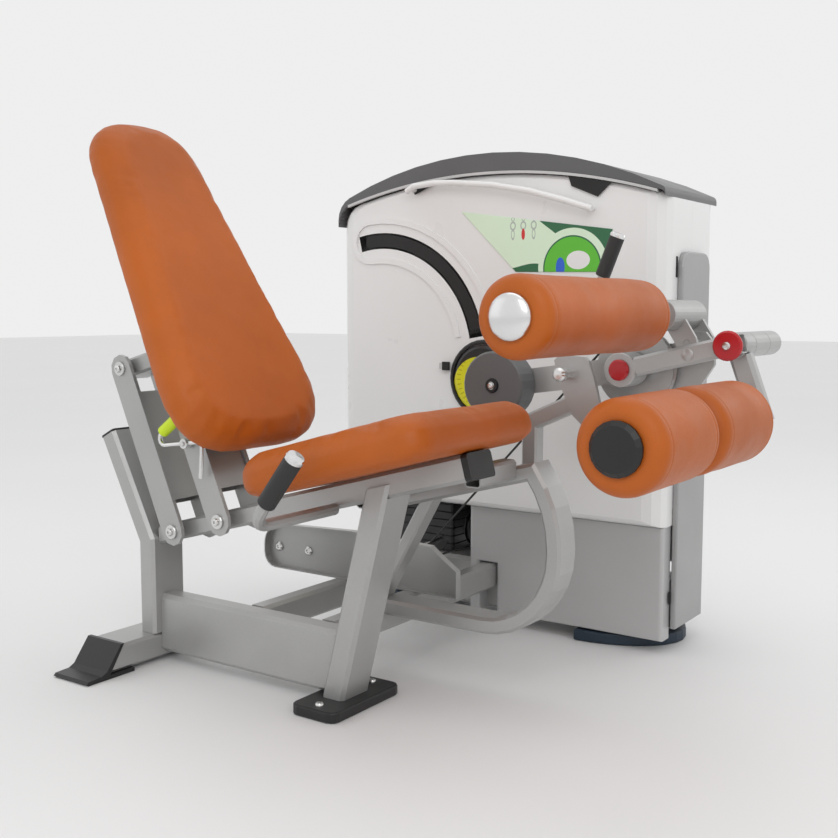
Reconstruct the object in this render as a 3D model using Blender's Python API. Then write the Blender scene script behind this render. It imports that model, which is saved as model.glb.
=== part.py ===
"""Seated leg machine with thigh clamp, ankle rollers and a shrouded weight tower.

The user faces +X, the tower stands on the +Y side, +Z is up.  The origin is on the
floor under the middle of the machine.  All lengths are metres, all angles degrees.
"""
import math

import bmesh
import bpy
from mathutils import Matrix, Vector

# ---------------------------------------------------------------- driving dimensions
GAP = 0.0003                 # clearance between touching pieces
WALL = 0.003                 # steel tube wall
FRAME_Y = -0.376             # centre plane of post, base beam, leg and seat rail

POST_X = -0.628              # centre of the rear post
POST_DEPTH, POST_WIDTH = 0.054, 0.108
POST_BEND_Z = 0.315
POST_TOP = (-0.7635, 0.5785)  # x, z of the slanted top end

BEAM_HEIGHT, BEAM_WIDTH = 0.150, 0.060
BEAM_Z = 0.101

FOOT_BEAM_X = (-0.719, -0.601)
FOOT_BEAM_Z = (0.0103, 0.075)

LEG_LEAN = 14.5
LEG_FOOT = (-0.0185, 0.0253)  # x, z where the leg stands on its foot plate
LEG_SIZE = (0.060, 0.100)

SEAT_TILT = 15.0
RAIL_TOP = (0.317, 0.606)    # a point of the rail's top line
RAIL_X = (-0.235, 0.318)
RAIL_HEIGHT, RAIL_WIDTH = 0.058, 0.092
PAD_THICK = 0.088

LOOP_Y = -0.140              # centre plane of the front loop tube
LOOP_SIZE = (0.080, 0.038)   # width along Y, thickness in the plane

KNEE = (0.458, 0.763)        # x, z of the lever axis
TOGGLE = (0.710, 0.823)      # x, z of the ankle-arm axis on the lever
ANKLE = (0.764, 0.673)       # x, z of the ankle-roller axle
THIGH = (0.561, 0.888)       # x, z of the thigh-roller axle
THIGH_PIVOT = (0.600, 0.826)  # x, z of the thigh-arm hinge
COUNTER = (0.118, 0.714)     # x, z of the counterweight
ANKLE_RADIUS, THIGH_RADIUS = 0.084, 0.0775

TOWER_X = (-0.600, 0.440)
TOWER_Y = (0.330, 0.682)
TOWER_MID = 0.510
TOWER_BASE_Y = (0.420, 0.600)
ROOF = (-0.090, 1.327, 1.20)  # x and z of the roof's highest line, roof radius
SHELL = 0.004
SLOT = (-0.444, 0.765, 0.337)  # x, z and radius of the curved slot beside the dial

STACK_X = -0.380
STACK_SIZE = (0.230, 0.120)
PLATE = 0.024
RESTING, LIFTED = 9, 5
CABLE = 0.003                # cable radius
CENTRE_SHIFT = (-0.02877, 0.00724, 0.0)  # from the drawing's zero to the middle

COLOURS = {                  # name: (red, green, blue, roughness, metallic)
    "steel_paint": (0.42, 0.42, 0.42, 0.42, 0.35),
    "shroud_white": (0.78, 0.78, 0.77, 0.35, 0.0),
    "cap_grey": (0.12, 0.12, 0.12, 0.4, 0.0),
    "column_grey": (0.36, 0.36, 0.36, 0.4, 0.2),
    "black_plastic": (0.015, 0.015, 0.015, 0.55, 0.0),
    "navy_foot": (0.008, 0.018, 0.035, 0.5, 0.0),
    "orange_vinyl": (0.48, 0.12, 0.02, 0.5, 0.0),
    "chrome": (0.75, 0.75, 0.75, 0.15, 1.0),
    "red_cap": (0.35, 0.01, 0.015, 0.35, 0.0),
    "lever_green": (0.62, 0.82, 0.02, 0.45, 0.0),
    "dial_yellow": (0.72, 0.62, 0.03, 0.4, 0.0),
    "panel_green": (0.05, 0.32, 0.08, 0.4, 0.0),
    "iron": (0.08, 0.08, 0.085, 0.5, 0.6),
    "cable_black": (0.02, 0.02, 0.02, 0.5, 0.0),
}


# ---------------------------------------------------------------- shared helpers
def clear_scene():
    for item in list(bpy.data.objects):
        bpy.data.objects.remove(item, do_unlink=True)


def material(name):
    found = bpy.data.materials.get(name)
    if found:
        return found
    red, green, blue, roughness, metallic = COLOURS[name]
    made = bpy.data.materials.new(name)
    made.use_nodes = True
    shader = made.node_tree.nodes["Principled BSDF"]
    shader.inputs["Base Color"].default_value = (red, green, blue, 1.0)
    shader.inputs["Roughness"].default_value = roughness
    shader.inputs["Metallic"].default_value = metallic
    return made


def finish_mesh(name, mesh_data, finish, origin=None, smooth=30.0):
    bmesh.ops.remove_doubles(mesh_data, verts=mesh_data.verts, dist=1e-6)
    bmesh.ops.recalc_face_normals(mesh_data, faces=mesh_data.faces)
    mesh = bpy.data.meshes.new(name)
    if origin is not None:
        bmesh.ops.translate(mesh_data, verts=mesh_data.verts, vec=-Vector(origin))
    mesh_data.to_mesh(mesh)
    mesh_data.free()
    mesh.shade_smooth()
    mesh.set_sharp_from_angle(angle=math.radians(smooth))
    mesh.materials.append(material(finish))
    made = bpy.data.objects.new(name, mesh)
    if origin is not None:
        made.location = origin
    bpy.context.scene.collection.objects.link(made)
    return made


def direction(degrees):
    """Unit vector in the XZ plane, measured from +X towards +Z."""
    angle = math.radians(degrees)
    return Vector((math.cos(angle), 0.0, math.sin(angle)))


def point(pair, y):
    return Vector((pair[0], y, pair[1]))


def circle(radius, steps, start=0.0):
    """Points of a circle, as (side, up) pairs."""
    pairs = []
    for k in range(steps):
        angle = math.radians(start) + 2.0 * math.pi * k / steps
        pairs.append((radius * math.cos(angle), radius * math.sin(angle)))
    return pairs


def rounded(width, height, radius, steps=3):
    """Rounded rectangle about the origin, anticlockwise, as (side, up) pairs."""
    pairs = []
    for quarter in range(4):
        cx = (width / 2 - radius) * (1 if quarter in (0, 3) else -1)
        cy = (height / 2 - radius) * (1 if quarter in (0, 1) else -1)
        for k in range(steps + 1):
            angle = math.pi / 2 * (quarter + k / steps)
            pairs.append((cx + radius * math.cos(angle), cy + radius * math.sin(angle)))
    return pairs


def arc(centre, radius, start, end, steps):
    """Points of an arc, angles in degrees, both ends included."""
    pairs = []
    for k in range(steps + 1):
        angle = math.radians(start + (end - start) * k / steps)
        pairs.append((centre[0] + radius * math.cos(angle),
                      centre[1] + radius * math.sin(angle)))
    return pairs


def bridge(mesh_data, first, second):
    count = len(first)
    for k in range(count):
        after = (k + 1) % count
        mesh_data.faces.new((first[k], first[after], second[after], second[k]))


def add_ring(mesh_data, points):
    return [mesh_data.verts.new(p) for p in points]


def prism(name, outline, lo, hi, finish, axis="Y", origin=None):
    """A flat outline pushed from lo to hi along an axis.

    The outline is (x, z) along Y, (y, z) along X and (x, y) along Z.
    """
    def place(pair, depth):
        if axis == "Y":
            return (pair[0], depth, pair[1])
        if axis == "X":
            return (depth, pair[0], pair[1])
        return (pair[0], pair[1], depth)

    mesh_data = bmesh.new()
    near = add_ring(mesh_data, [place(p, lo) for p in outline])
    far = add_ring(mesh_data, [place(p, hi) for p in outline])
    bridge(mesh_data, near, far)
    mesh_data.faces.new(near)
    mesh_data.faces.new(far)
    return finish_mesh(name, mesh_data, finish, origin)


def box(name, x, y, z, finish, bevel=0.0):
    outline = [(x[0], z[0]), (x[1], z[0]), (x[1], z[1]), (x[0], z[1])]
    made = prism(name, outline, y[0], y[1], finish)
    if bevel:
        add_bevel(made, bevel)
    return made


def add_bevel(made, width, segments=2):
    bevel = made.modifiers.new("edges", "BEVEL")
    bevel.width = width
    bevel.segments = segments
    bevel.limit_method = "ANGLE"
    bevel.angle_limit = math.radians(40)


def turned(name, profile, centre, axis, finish, steps=32, ring=False):
    """A profile of (radius, distance) pairs turned about an axis.

    A solid profile starts and ends on the axis, a ring profile is a closed loop off it.
    """
    axis = Vector(axis).normalized()
    side = axis.orthogonal().normalized()
    other = axis.cross(side)
    centre = Vector(centre)
    mesh_data = bmesh.new()
    rings = []
    for radius, distance in profile:
        base = centre + axis * distance
        if radius < 1e-9:
            rings.append([mesh_data.verts.new(base)])
            continue
        points = []
        for k in range(steps):
            angle = 2.0 * math.pi * k / steps
            points.append(base + (side * math.cos(angle) + other * math.sin(angle)) * radius)
        rings.append(add_ring(mesh_data, points))
    pairs = list(zip(rings, rings[1:]))
    if ring:
        pairs.append((rings[-1], rings[0]))
    for first, second in pairs:
        if len(first) == 1:
            first, second = second, first
        if len(second) == 1:
            for k in range(steps):
                mesh_data.faces.new((first[k], first[(k + 1) % steps], second[0]))
        else:
            bridge(mesh_data, first, second)
    return finish_mesh(name, mesh_data, finish, centre)


def rod(name, start, end, radius, finish, steps=24, edge=0.001):
    """A round bar with small chamfers."""
    start, end = Vector(start), Vector(end)
    length = (end - start).length
    profile = [(0, 0), (radius - edge, 0), (radius, edge), (radius, length - edge),
               (radius - edge, length), (0, length)]
    return turned(name, profile, start, end - start, finish, steps)


def sleeve(name, start, end, radius, bore, finish, steps=32, edge=0.001):
    """A round bar with a through bore."""
    start, end = Vector(start), Vector(end)
    length = (end - start).length
    profile = [(bore, 0), (radius - edge, 0), (radius, edge), (radius, length - edge),
               (radius - edge, length), (bore, length)]
    return turned(name, profile, start, end - start, finish, steps, ring=True)


def sweep(name, section, path, side, finish, inner=None, ends=(None, None), origin=None):
    """A section swept along a flat path, mitred at each corner.

    The section's first number lies along side, which is square to the path's plane.
    inner is the bore's section for a hollow tube; ends are the cut planes' normals.
    """
    path = [Vector(p) for p in path]
    side = Vector(side).normalized()
    mesh_data = bmesh.new()
    outer_rings = []
    inner_rings = []
    last = len(path) - 1
    for k, here in enumerate(path):
        arriving = (here - path[k - 1]).normalized() if k else None
        leaving = (path[k + 1] - here).normalized() if k < last else None
        tangent = arriving if arriving is not None else leaving
        if arriving is not None and leaving is not None:
            normal = (arriving + leaving).normalized()
        else:
            normal = ends[0] if k == 0 else ends[1]
            normal = Vector(normal).normalized() if normal is not None else tangent
        up = tangent.cross(side).normalized()
        for outline, rings in ((section, outer_rings), (inner, inner_rings)):
            if outline is None:
                continue
            points = []
            for s, u in outline:
                offset = side * s + up * u
                offset -= tangent * (offset.dot(normal) / tangent.dot(normal))
                points.append(here + offset)
            rings.append(add_ring(mesh_data, points))
    for rings in (outer_rings, inner_rings):
        for first, second in zip(rings, rings[1:]):
            bridge(mesh_data, first, second)
    if inner is None:
        mesh_data.faces.new(outer_rings[0])
        mesh_data.faces.new(outer_rings[-1])
    else:
        bridge(mesh_data, outer_rings[0], inner_rings[0])
        bridge(mesh_data, outer_rings[-1], inner_rings[-1])
    return finish_mesh(name, mesh_data, finish, origin)


def tube(name, path, side, width, height, finish, radius=0.008, wall=WALL, **more):
    """A hollow rectangular steel tube, width along side."""
    section = rounded(width, height, radius, 1)
    inner = rounded(width - 2 * wall, height - 2 * wall, radius - wall, 1)
    return sweep(name, section, path, side, finish, inner=inner, **more)


def cut(made, cutter):
    cutter.hide_render = True
    cutter.display_type = "WIRE"
    boolean = made.modifiers.new("cut", "BOOLEAN")
    boolean.object = cutter
    boolean.operation = "DIFFERENCE"


def round_link(name, first, second, radius, lo, hi, finish, bore=0.0):
    """A flat bar with round ends between two (x, z) points, with bores at both ends."""
    first, second = Vector(first), Vector(second)
    along = (second - first).normalized()
    heading = math.degrees(math.atan2(along.y, along.x))
    outline = arc(second, radius, heading - 90, heading + 90, 5)
    outline += arc(first, radius, heading + 90, heading + 270, 5)
    made = prism(name, outline, lo, hi, finish)
    if bore:
        for centre in (first, second):
            cut(made, rod("cut_" + name, (centre.x, lo - 0.01, centre.y),
                          (centre.x, hi + 0.01, centre.y), bore, finish, 14))
    return made


def drill(made, pair, lo, hi, radius):
    steps = 18
    reach = radius / math.cos(math.pi / steps)
    cut(made, rod("cut_" + made.name, (pair[0], lo, pair[1]), (pair[0], hi, pair[1]),
                  reach, "chrome", steps))


def roof_z(x):
    """Height of the tower's roof line."""
    return ROOF[1] - ROOF[2] + math.sqrt(ROOF[2] ** 2 - (x - ROOF[0]) ** 2)


# ---------------------------------------------------------------- seat frame
def rail_z(x):
    """Height of the seat rail's top line."""
    return RAIL_TOP[1] + math.tan(math.radians(SEAT_TILT)) * (x - RAIL_TOP[0])


def rear_stand():
    y_top = 0.155            # half length of the foot beam along its top
    y_low = 0.200            # half length along its underside
    x_mid = sum(FOOT_BEAM_X) / 2
    z_mid = sum(FOOT_BEAM_Z) / 2
    height = FOOT_BEAM_Z[1] - FOOT_BEAM_Z[0]
    slope = Vector((0, height, y_low - y_top)).normalized()
    mid = (y_top + y_low) / 2
    tube("rear_foot_beam", [(x_mid, FRAME_Y - mid, z_mid), (x_mid, FRAME_Y + mid, z_mid)],
         (1, 0, 0), FOOT_BEAM_X[1] - FOOT_BEAM_X[0], height, "steel_paint",
         ends=((0, slope.y, -slope.z), (0, slope.y, slope.z)))
    for name, way in (("rear_foot_near", -1), ("rear_foot_far", 1)):
        out = [(y_low - 0.075, 0.0), (y_low + 0.066, 0.0), (y_low + 0.072, 0.004),
               (y_low + 0.066, 0.010), (y_low + 0.026, 0.012), (y_low + 0.010, 0.020),
               (y_top + 0.010, FOOT_BEAM_Z[1] + 0.004), (y_top + 0.0004, FOOT_BEAM_Z[1] + 0.004),
               (y_low + 0.0004, FOOT_BEAM_Z[0] - GAP), (y_low - 0.075, FOOT_BEAM_Z[0] - GAP)]
        outline = [(FRAME_Y + way * y, z) for y, z in out]
        prism(name, outline, FOOT_BEAM_X[0] - 0.004, FOOT_BEAM_X[1] + 0.004,
              "black_plastic", axis="X")
    bend = (POST_X, POST_BEND_Z)
    top = Vector((POST_TOP[0], 0, POST_TOP[1]))
    base = (POST_X, FRAME_Y, FOOT_BEAM_Z[1] + GAP)
    tube("rear_post", [base, point(bend, FRAME_Y), point(POST_TOP, FRAME_Y)], (0, 1, 0),
         POST_WIDTH, POST_DEPTH, "steel_paint")
    lean = (top - Vector((bend[0], 0, bend[1]))).normalized()
    start = point(POST_TOP, FRAME_Y) + lean * GAP
    made = sweep("post_cap", rounded(POST_WIDTH, POST_DEPTH, 0.008, 2),
                 [start, start + lean * 0.005], (0, 1, 0), "black_plastic")
    return made


def base_and_leg():
    lean = direction(90 - LEG_LEAN)
    across = direction(-LEG_LEAN)
    foot = Vector((LEG_FOOT[0], FRAME_Y - 0.004, LEG_FOOT[1]))
    leg_length = 0.545
    leg = tube("front_leg", [foot, foot + lean * leg_length], (0, 1, 0), LEG_SIZE[1],
               LEG_SIZE[0], "steel_paint", wall=0.004, ends=((0, 0, 1), None))
    half = LEG_SIZE[0] / 2 + GAP
    rear_at_beam = foot + lean * ((BEAM_Z - foot.z) / lean.z)
    rear_at_beam.x -= half / across.x
    start = (POST_X + POST_DEPTH / 2 + GAP, FRAME_Y, BEAM_Z)
    tube("base_beam", [start, (rear_at_beam.x, FRAME_Y, BEAM_Z)], (0, 1, 0), BEAM_WIDTH,
         BEAM_HEIGHT, "steel_paint", radius=0.010, ends=(None, across))
    # The rail sits in a pocket of the leg: only the leg's near wall stands in front of it.
    rail_low = RAIL_HEIGHT / math.cos(math.radians(SEAT_TILT)) + GAP
    pocket = [(-0.10, rail_z(-0.10) - rail_low), (0.36, rail_z(0.36) - rail_low),
              (0.36, 0.80), (-0.10, 0.80)]
    cut(leg, prism("cut_pocket", pocket, FRAME_Y - RAIL_WIDTH / 2 - GAP, 0.0, "chrome"))
    lip = 0.030
    trim = [(-0.10, rail_z(-0.10) - lip), (0.36, rail_z(0.36) - lip), (0.36, 0.80),
            (-0.10, 0.80)]
    cut(leg, prism("cut_leg_top", trim, FRAME_Y - 0.10, 0.0, "chrome"))
    outline = [(x + LEG_FOOT[0], y + FRAME_Y) for x, y in rounded(0.128, 0.252, 0.022, 3)]
    plate = prism("front_foot", outline, 0.0, LEG_FOOT[1] - GAP, "black_plastic", axis="Z")
    add_bevel(plate, 0.004, 2)


def loft(name, levels, side, up, finish, origin=None):
    """Closed body through outlines of equal point count, stacked along up."""
    side = Vector(side).normalized()
    forward = Vector(up).cross(side).normalized()
    mesh_data = bmesh.new()
    rings = []
    for centre, outline in levels:
        rings.append(add_ring(mesh_data, [centre + side * s + forward * f for s, f in outline]))
    for first, second in zip(rings, rings[1:]):
        bridge(mesh_data, first, second)
    mesh_data.faces.new(rings[0])
    mesh_data.faces.new(rings[-1])
    return finish_mesh(name, mesh_data, finish, origin)


def shell(name, outline, outer, inner, finish):
    """An open pan: outline(inset) is drawn at each (y, inset) of the outer and inner skin.

    outer runs from the rim to the face, inner from the face back to the rim.
    """
    mesh_data = bmesh.new()
    skins = []
    for levels in (outer, inner):
        rings = []
        for y, inset in levels:
            rings.append(add_ring(mesh_data, [(x, y, z) for x, z in outline(inset)]))
        for first, second in zip(rings, rings[1:]):
            bridge(mesh_data, first, second)
        skins.append(rings)
    mesh_data.faces.new(skins[0][-1])
    mesh_data.faces.new(skins[1][0])
    bridge(mesh_data, skins[1][-1], skins[0][0])
    return finish_mesh(name, mesh_data, finish)


def fillet(points, radius, steps=6):
    """A polyline with its corners rounded."""
    points = [Vector(p) for p in points]
    path = [points[0]]
    for before, corner, after in zip(points, points[1:], points[2:]):
        arriving = (corner - before).normalized()
        leaving = (after - corner).normalized()
        turn = arriving.angle(leaving)
        reach = radius * math.tan(turn / 2)
        middle = (leaving - arriving).normalized()
        centre = corner + middle * (radius / math.cos(turn / 2))
        first = corner - arriving * reach - centre
        axis = arriving.cross(leaving).normalized()
        for k in range(steps + 1):
            path.append(centre + Matrix.Rotation(turn * k / steps, 3, axis) @ first)
    path.append(points[-1])
    return path


def strand(name, points, radius, finish, steps=6):
    """A round cable through points in space, square at both ends."""
    mesh_data = bmesh.new()
    last = len(points) - 1
    side = None
    rings = []
    for k, here in enumerate(points):
        arriving = (here - points[k - 1]).normalized() if k else None
        leaving = (points[k + 1] - here).normalized() if k < last else None
        if arriving is None:
            tangent = leaving
        elif leaving is None:
            tangent = arriving
        else:
            tangent = (arriving + leaving).normalized()
        if side is None:
            side = tangent.orthogonal().normalized()
        side = (side - tangent * side.dot(tangent)).normalized()
        other = tangent.cross(side)
        rings.append(add_ring(mesh_data, [here + side * s + other * u
                                          for s, u in circle(radius, steps)]))
    for first, second in zip(rings, rings[1:]):
        bridge(mesh_data, first, second)
    mesh_data.faces.new(rings[0])
    mesh_data.faces.new(rings[-1])
    return finish_mesh(name, mesh_data, finish, smooth=60)


def unite(made, other):
    other.hide_render = True
    other.display_type = "WIRE"
    boolean = made.modifiers.new("unite", "BOOLEAN")
    boolean.object = other
    boolean.operation = "UNION"


def cross_pin(name, pair, lo, hi, radius, finish, head=0.0, head_length=0.004):
    """A pin along Y, with a wider head on both ends when asked."""
    if not head:
        return rod(name, point(pair, lo), point(pair, hi), radius, finish)
    profile = [(0, -head_length), (head - 0.001, -head_length), (head, -head_length + 0.001),
               (head, 0), (radius, 0), (radius, hi - lo), (head, hi - lo),
               (head, hi - lo + head_length - 0.001), (head - 0.001, hi - lo + head_length),
               (0, hi - lo + head_length)]
    return turned(name, profile, point(pair, lo), (0, 1, 0), finish, 14)


def seat_parts():
    up = direction(SEAT_TILT + 90)
    along = direction(SEAT_TILT)
    start = Vector((RAIL_X[0], FRAME_Y, rail_z(RAIL_X[0]))) - up * (RAIL_HEIGHT / 2)
    end = Vector((RAIL_X[1], FRAME_Y, rail_z(RAIL_X[1]))) - up * (RAIL_HEIGHT / 2)
    rail = tube("seat_rail", [start, end], (0, 1, 0), RAIL_WIDTH, RAIL_HEIGHT, "steel_paint")
    cap_start = end + along * GAP
    sweep("rail_cap", rounded(RAIL_WIDTH + 0.003, RAIL_HEIGHT, 0.008, 2),
          [cap_start, cap_start + along * 0.016], (0, 1, 0), "black_plastic")
    length, width = 0.505, 0.495
    low = Vector((0.113, FRAME_Y + 0.006, rail_z(0.113))) + up * GAP
    pad_levels = ((0.0, 0.030), (0.012, 0.006), (0.030, 0.0), (0.060, 0.002),
                  (0.080, 0.014), (PAD_THICK + 0.004, 0.038))
    loft("seat_pad", [(low + up * h, rounded(width - 2 * inset, length - 2 * inset,
                                             0.060 - 0.4 * inset, 5))
                      for h, inset in pad_levels], (0, 1, 0), up, "orange_vinyl")
    return rail


def upper_run_z(x):
    """Height of the centre line of the loop's run under the seat."""
    return 0.531 + math.tan(math.radians(SEAT_TILT)) * (x - 0.300)


def loop_path():
    """Centre line of the front loop: floor run, big round, then back under the seat."""
    bottom_z, left_x = 0.175, -0.0697
    lower_r, upper_r, right_x = 0.182, 0.280, 0.404
    path = [(left_x, bottom_z)]
    path += arc((right_x - lower_r, bottom_z + lower_r), lower_r, -90, 0, 8)
    centre = (right_x - upper_r, 0.370)
    path += arc(centre, upper_r, 0, 38, 4)
    path.append((0.008, upper_run_z(0.008)))
    return path


def front_loop(rail):
    path = [point(p, LOOP_Y) for p in loop_path()]
    tube("front_loop", path, (0, 1, 0), LOOP_SIZE[0], LOOP_SIZE[1], "steel_paint",
         radius=0.007)
    # Cross tube between the rail's far side and the loop's near side.
    near = FRAME_Y + RAIL_WIDTH / 2 - 0.001
    far = LOOP_Y - LOOP_SIZE[0] / 2 - GAP
    unite(rail, tube("seat_cross_tube",
                     [point((0.292, 0.546), near), point((0.292, 0.546), far)],
                     (1, 0, 0), 0.040, 0.046, "steel_paint", radius=0.006))
    # Diagonal brace from the loop's underside down to the front cross tube.
    lean = math.radians(29.5)
    foot = Vector((-0.098, LOOP_Y, 0.1755 + GAP))
    rise = Vector((math.sin(lean), 0, math.cos(lean)))
    slope = direction(SEAT_TILT)
    under = upper_run_z(0) - (LOOP_SIZE[1] / 2 + GAP) / math.cos(math.radians(SEAT_TILT))
    reach = (under + math.tan(math.radians(SEAT_TILT)) * foot.x - foot.z)
    reach /= rise.z - math.tan(math.radians(SEAT_TILT)) * rise.x
    tube("loop_brace", [foot, foot + rise * reach], (0, 1, 0), 0.050, 0.030, "steel_paint",
         radius=0.005, ends=((0, 0, 1), (-slope.z, 0, slope.x)))


def cross_tubes():
    near = FRAME_Y + BEAM_WIDTH / 2 + GAP
    far = TOWER_BASE_Y[0] - GAP
    for name, x in (("rear_cross_tube", -0.321), ("front_cross_tube", -0.095)):
        tube(name, [(x, near, 0.1405), (x, far, 0.1405)], (1, 0, 0), 0.050, 0.070,
             "steel_paint")


def tray_outline(inset):
    """Side outline of the pulley tray, with a rounded left end."""
    left, right, low = -0.600 + inset, 0.050 - inset, 0.1758 + inset
    pairs = [(right, low)]
    pairs += [(right, 0.245 - inset * 0.4), (right - 0.060, 0.285 - inset * 0.7)]
    pairs += [(-0.031, 0.301 - inset), (-0.288, 0.311 - inset), (-0.500, 0.303 - inset)]
    pairs += arc((left + 0.060, 0.240), 0.060, 100, 180, 6)
    pairs += arc((left + 0.040, low + 0.040), 0.040, 180, 270, 4)
    return pairs


def pulley_tray():
    tray = shell("pulley_tray", tray_outline, ((-0.020, 0.0), (0.0, 0.0), (0.003, 0.003)),
          ((0.0, 0.003), (-0.020, 0.003)), "steel_paint")
    for index, x in enumerate((-0.559, -0.451)):
        bolt = [(0, 0.002), (0.013, 0.002), (0.013, -0.004), (0.009, -0.007), (0.005, -0.007),
                (0.005, -0.004), (0, -0.004)]
        unite(tray, turned("tray_bolt_%d" % index, bolt, (x, 0, 0.233), (0, 1, 0), "iron", 16))
    return tray


def handles():
    top, low = Vector((0.110, 0, 0.613)), Vector((0.031, 0, 0.513))
    along = (top - low).normalized()
    cross = low - along * ((low.x + 0.0110) / along.x)
    reach = 0.314
    normal = along.cross(Vector((0, 1, 0)))
    for name, side in (("handle_near", -1), ("handle_far", 1)):
        y = FRAME_Y + side * reach
        weld = Vector((cross.x, FRAME_Y + side * (RAIL_WIDTH / 2 + GAP), cross.z))
        end = Vector((top.x, y, top.z)) - along * 0.006
        path = fillet([weld, Vector((cross.x, y, cross.z)), end], 0.050, 5)
        bar = sweep(name, circle(0.0130, 10), path, normal, "steel_paint",
                    inner=circle(0.0105, 10))
        grip = [(0, 0.1218), (0.0120, 0.1218), (0.0120, 0), (0.018, 0), (0.020, 0.003),
                (0.020, 0.1215), (0.0205, 0.1218), (0.0205, 0.128), (0.018, 0.132), (0, 0.134)]
        unite(bar, turned("grip_" + name, grip, Vector((low.x, y, low.z)), along,
                          "black_plastic", 20))


# ---------------------------------------------------------------- backrest
LINK_LOW = ((-0.515, 0.353), (-0.355, 0.396))   # x, z of the rear and front lower pivots
LINK_TOP = ((-0.691, 0.752), (-0.531, 0.795))   # x, z of the upper pivots
BACK_LINE = ((-0.262, 0.577), (-0.708, 1.360))  # x, z of the pad's centre line
LINK_Y = ((-0.442, -0.432), (-0.320, -0.310))   # the two flat bars of each link
PIN = 0.008
LEVER_PIVOT = (-0.443, 0.5800)                  # x, z of the release lever's pin
LEVER_Y = -0.4585


def backrest_linkage():
    slope = direction(SEAT_TILT)
    end = point(LINK_LOW[1], FRAME_Y)
    rail_end = Vector((RAIL_X[0], FRAME_Y, rail_z(RAIL_X[0])))
    rail_end -= direction(SEAT_TILT + 90) * (RAIL_HEIGHT / 2) + slope * GAP
    start = end - slope * ((end.x - POST_X - POST_DEPTH / 2 - GAP) / slope.x)
    beam = tube("link_beam", [start, rail_end], (0, 1, 0), 0.066, 0.046, "steel_paint",
                radius=0.006, ends=((1, 0, 0), None))
    names = ("rear_link", "front_link")
    for index, (name, low, top) in enumerate(zip(names, LINK_LOW, LINK_TOP)):
        drill(beam, low, FRAME_Y - 0.05, FRAME_Y + 0.05, PIN + GAP)
        link = round_link(name, low, top, 0.035, LINK_Y[0][0], LINK_Y[0][1], "steel_paint")
        far = round_link("far_" + name, low, top, 0.035, LINK_Y[1][0], LINK_Y[1][1],
                         "steel_paint")
        box_ends = [point(Vector(low).lerp(Vector(top), part), FRAME_Y) for part in (0.17, 0.83)]
        unite(link, tube("web_" + name, box_ends, (0, 1, 0),
                         LINK_Y[1][0] - LINK_Y[0][1] + 0.004, 0.056, "steel_paint",
                         radius=0.005))
        unite(link, far)
        if index:
            unite(link, rod("lever_stud", point(LEVER_PIVOT, LINK_Y[0][0] + 0.004),
                            point(LEVER_PIVOT, LEVER_Y - 0.014), 0.0055, "steel_paint"))
        for where, centre in (("low", low), ("top", top)):
            pin = cross_pin("pin_%s_%s" % (where, name), centre, LINK_Y[0][0] - 0.001,
                            LINK_Y[1][1] + 0.001, PIN, "steel_paint", 0.018, 0.005)
            unite(link, pin)


def back_frame():
    """Unit vectors up along the pad and square out of its back, plus its low end."""
    low = point(BACK_LINE[0], FRAME_Y)
    top = point(BACK_LINE[1], FRAME_Y)
    up = (top - low).normalized()
    return low, up, Vector((-up.z, 0, up.x)), (top - low).length


def egg_outline(width_low, width_top, length, inset, steps=6):
    """Back pad outline (side, along), wide below and narrow above, round corners."""
    half_low, half_top = width_low / 2 - inset, width_top / 2 - inset
    low, high = inset, length - inset
    corners = ((half_low, low, 0.185), (half_top, high, 0.125), (-half_top, high, 0.125),
               (-half_low, low, 0.185))
    pairs = []
    count = len(corners)
    for k, (x, y, radius) in enumerate(corners):
        here = Vector((x, y))
        before = (Vector(corners[k - 1][:2]) - here).normalized()
        after = (Vector(corners[(k + 1) % count][:2]) - here).normalized()
        reach = (radius - inset * 0.5)
        for j in range(steps + 1):
            t = j / steps
            blend = here + before * (reach * (1 - t) ** 2) + after * (reach * t ** 2)
            pairs.append((blend.x, blend.y))
    return pairs


def backrest():
    low, up, back, length = back_frame()
    side = Vector((0, 1, 0))
    half = 0.046

    def levels(table, wide, narrow):
        rows = []
        for depth, inset in table:
            outline = egg_outline(wide, narrow, length, inset)
            rows.append((low + back * depth, outline))
        return rows

    def layered(name, rows, finish):
        mesh_data = bmesh.new()
        rings = [add_ring(mesh_data, [centre + side * s + up * t for s, t in outline])
                 for centre, outline in rows]
        for first, second in zip(rings, rings[1:]):
            bridge(mesh_data, first, second)
        mesh_data.faces.new(rings[0])
        mesh_data.faces.new(rings[-1])
        return finish_mesh(name, mesh_data, finish)

    pad = ((half, 0.022), (half - 0.014, 0.004), (half - 0.034, 0.0), (-0.010, 0.002),
           (-0.032, 0.016), (-0.050, 0.048))
    layered("backrest_pad", levels(pad, 0.515, 0.300), "orange_vinyl")
    board = ((half + GAP, 0.052), (half + 0.010, 0.052), (half + 0.012, 0.056))
    layered("backrest_board", levels(board, 0.515, 0.300), "black_plastic")
    slope = direction(SEAT_TILT)
    rear = point(LINK_TOP[0], FRAME_Y)
    start = rear - slope * 0.026
    face = half + 0.012 + GAP
    reach = ((low - start).dot(back) + face) / slope.dot(back)
    carrier = tube("back_carrier", [start, start + slope * reach], (0, 1, 0), 0.088, 0.046,
                   "steel_paint", radius=0.006, ends=(None, -back))
    for centre in LINK_TOP:
        drill(carrier, centre, FRAME_Y - 0.06, FRAME_Y + 0.06, PIN + GAP)


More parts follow.
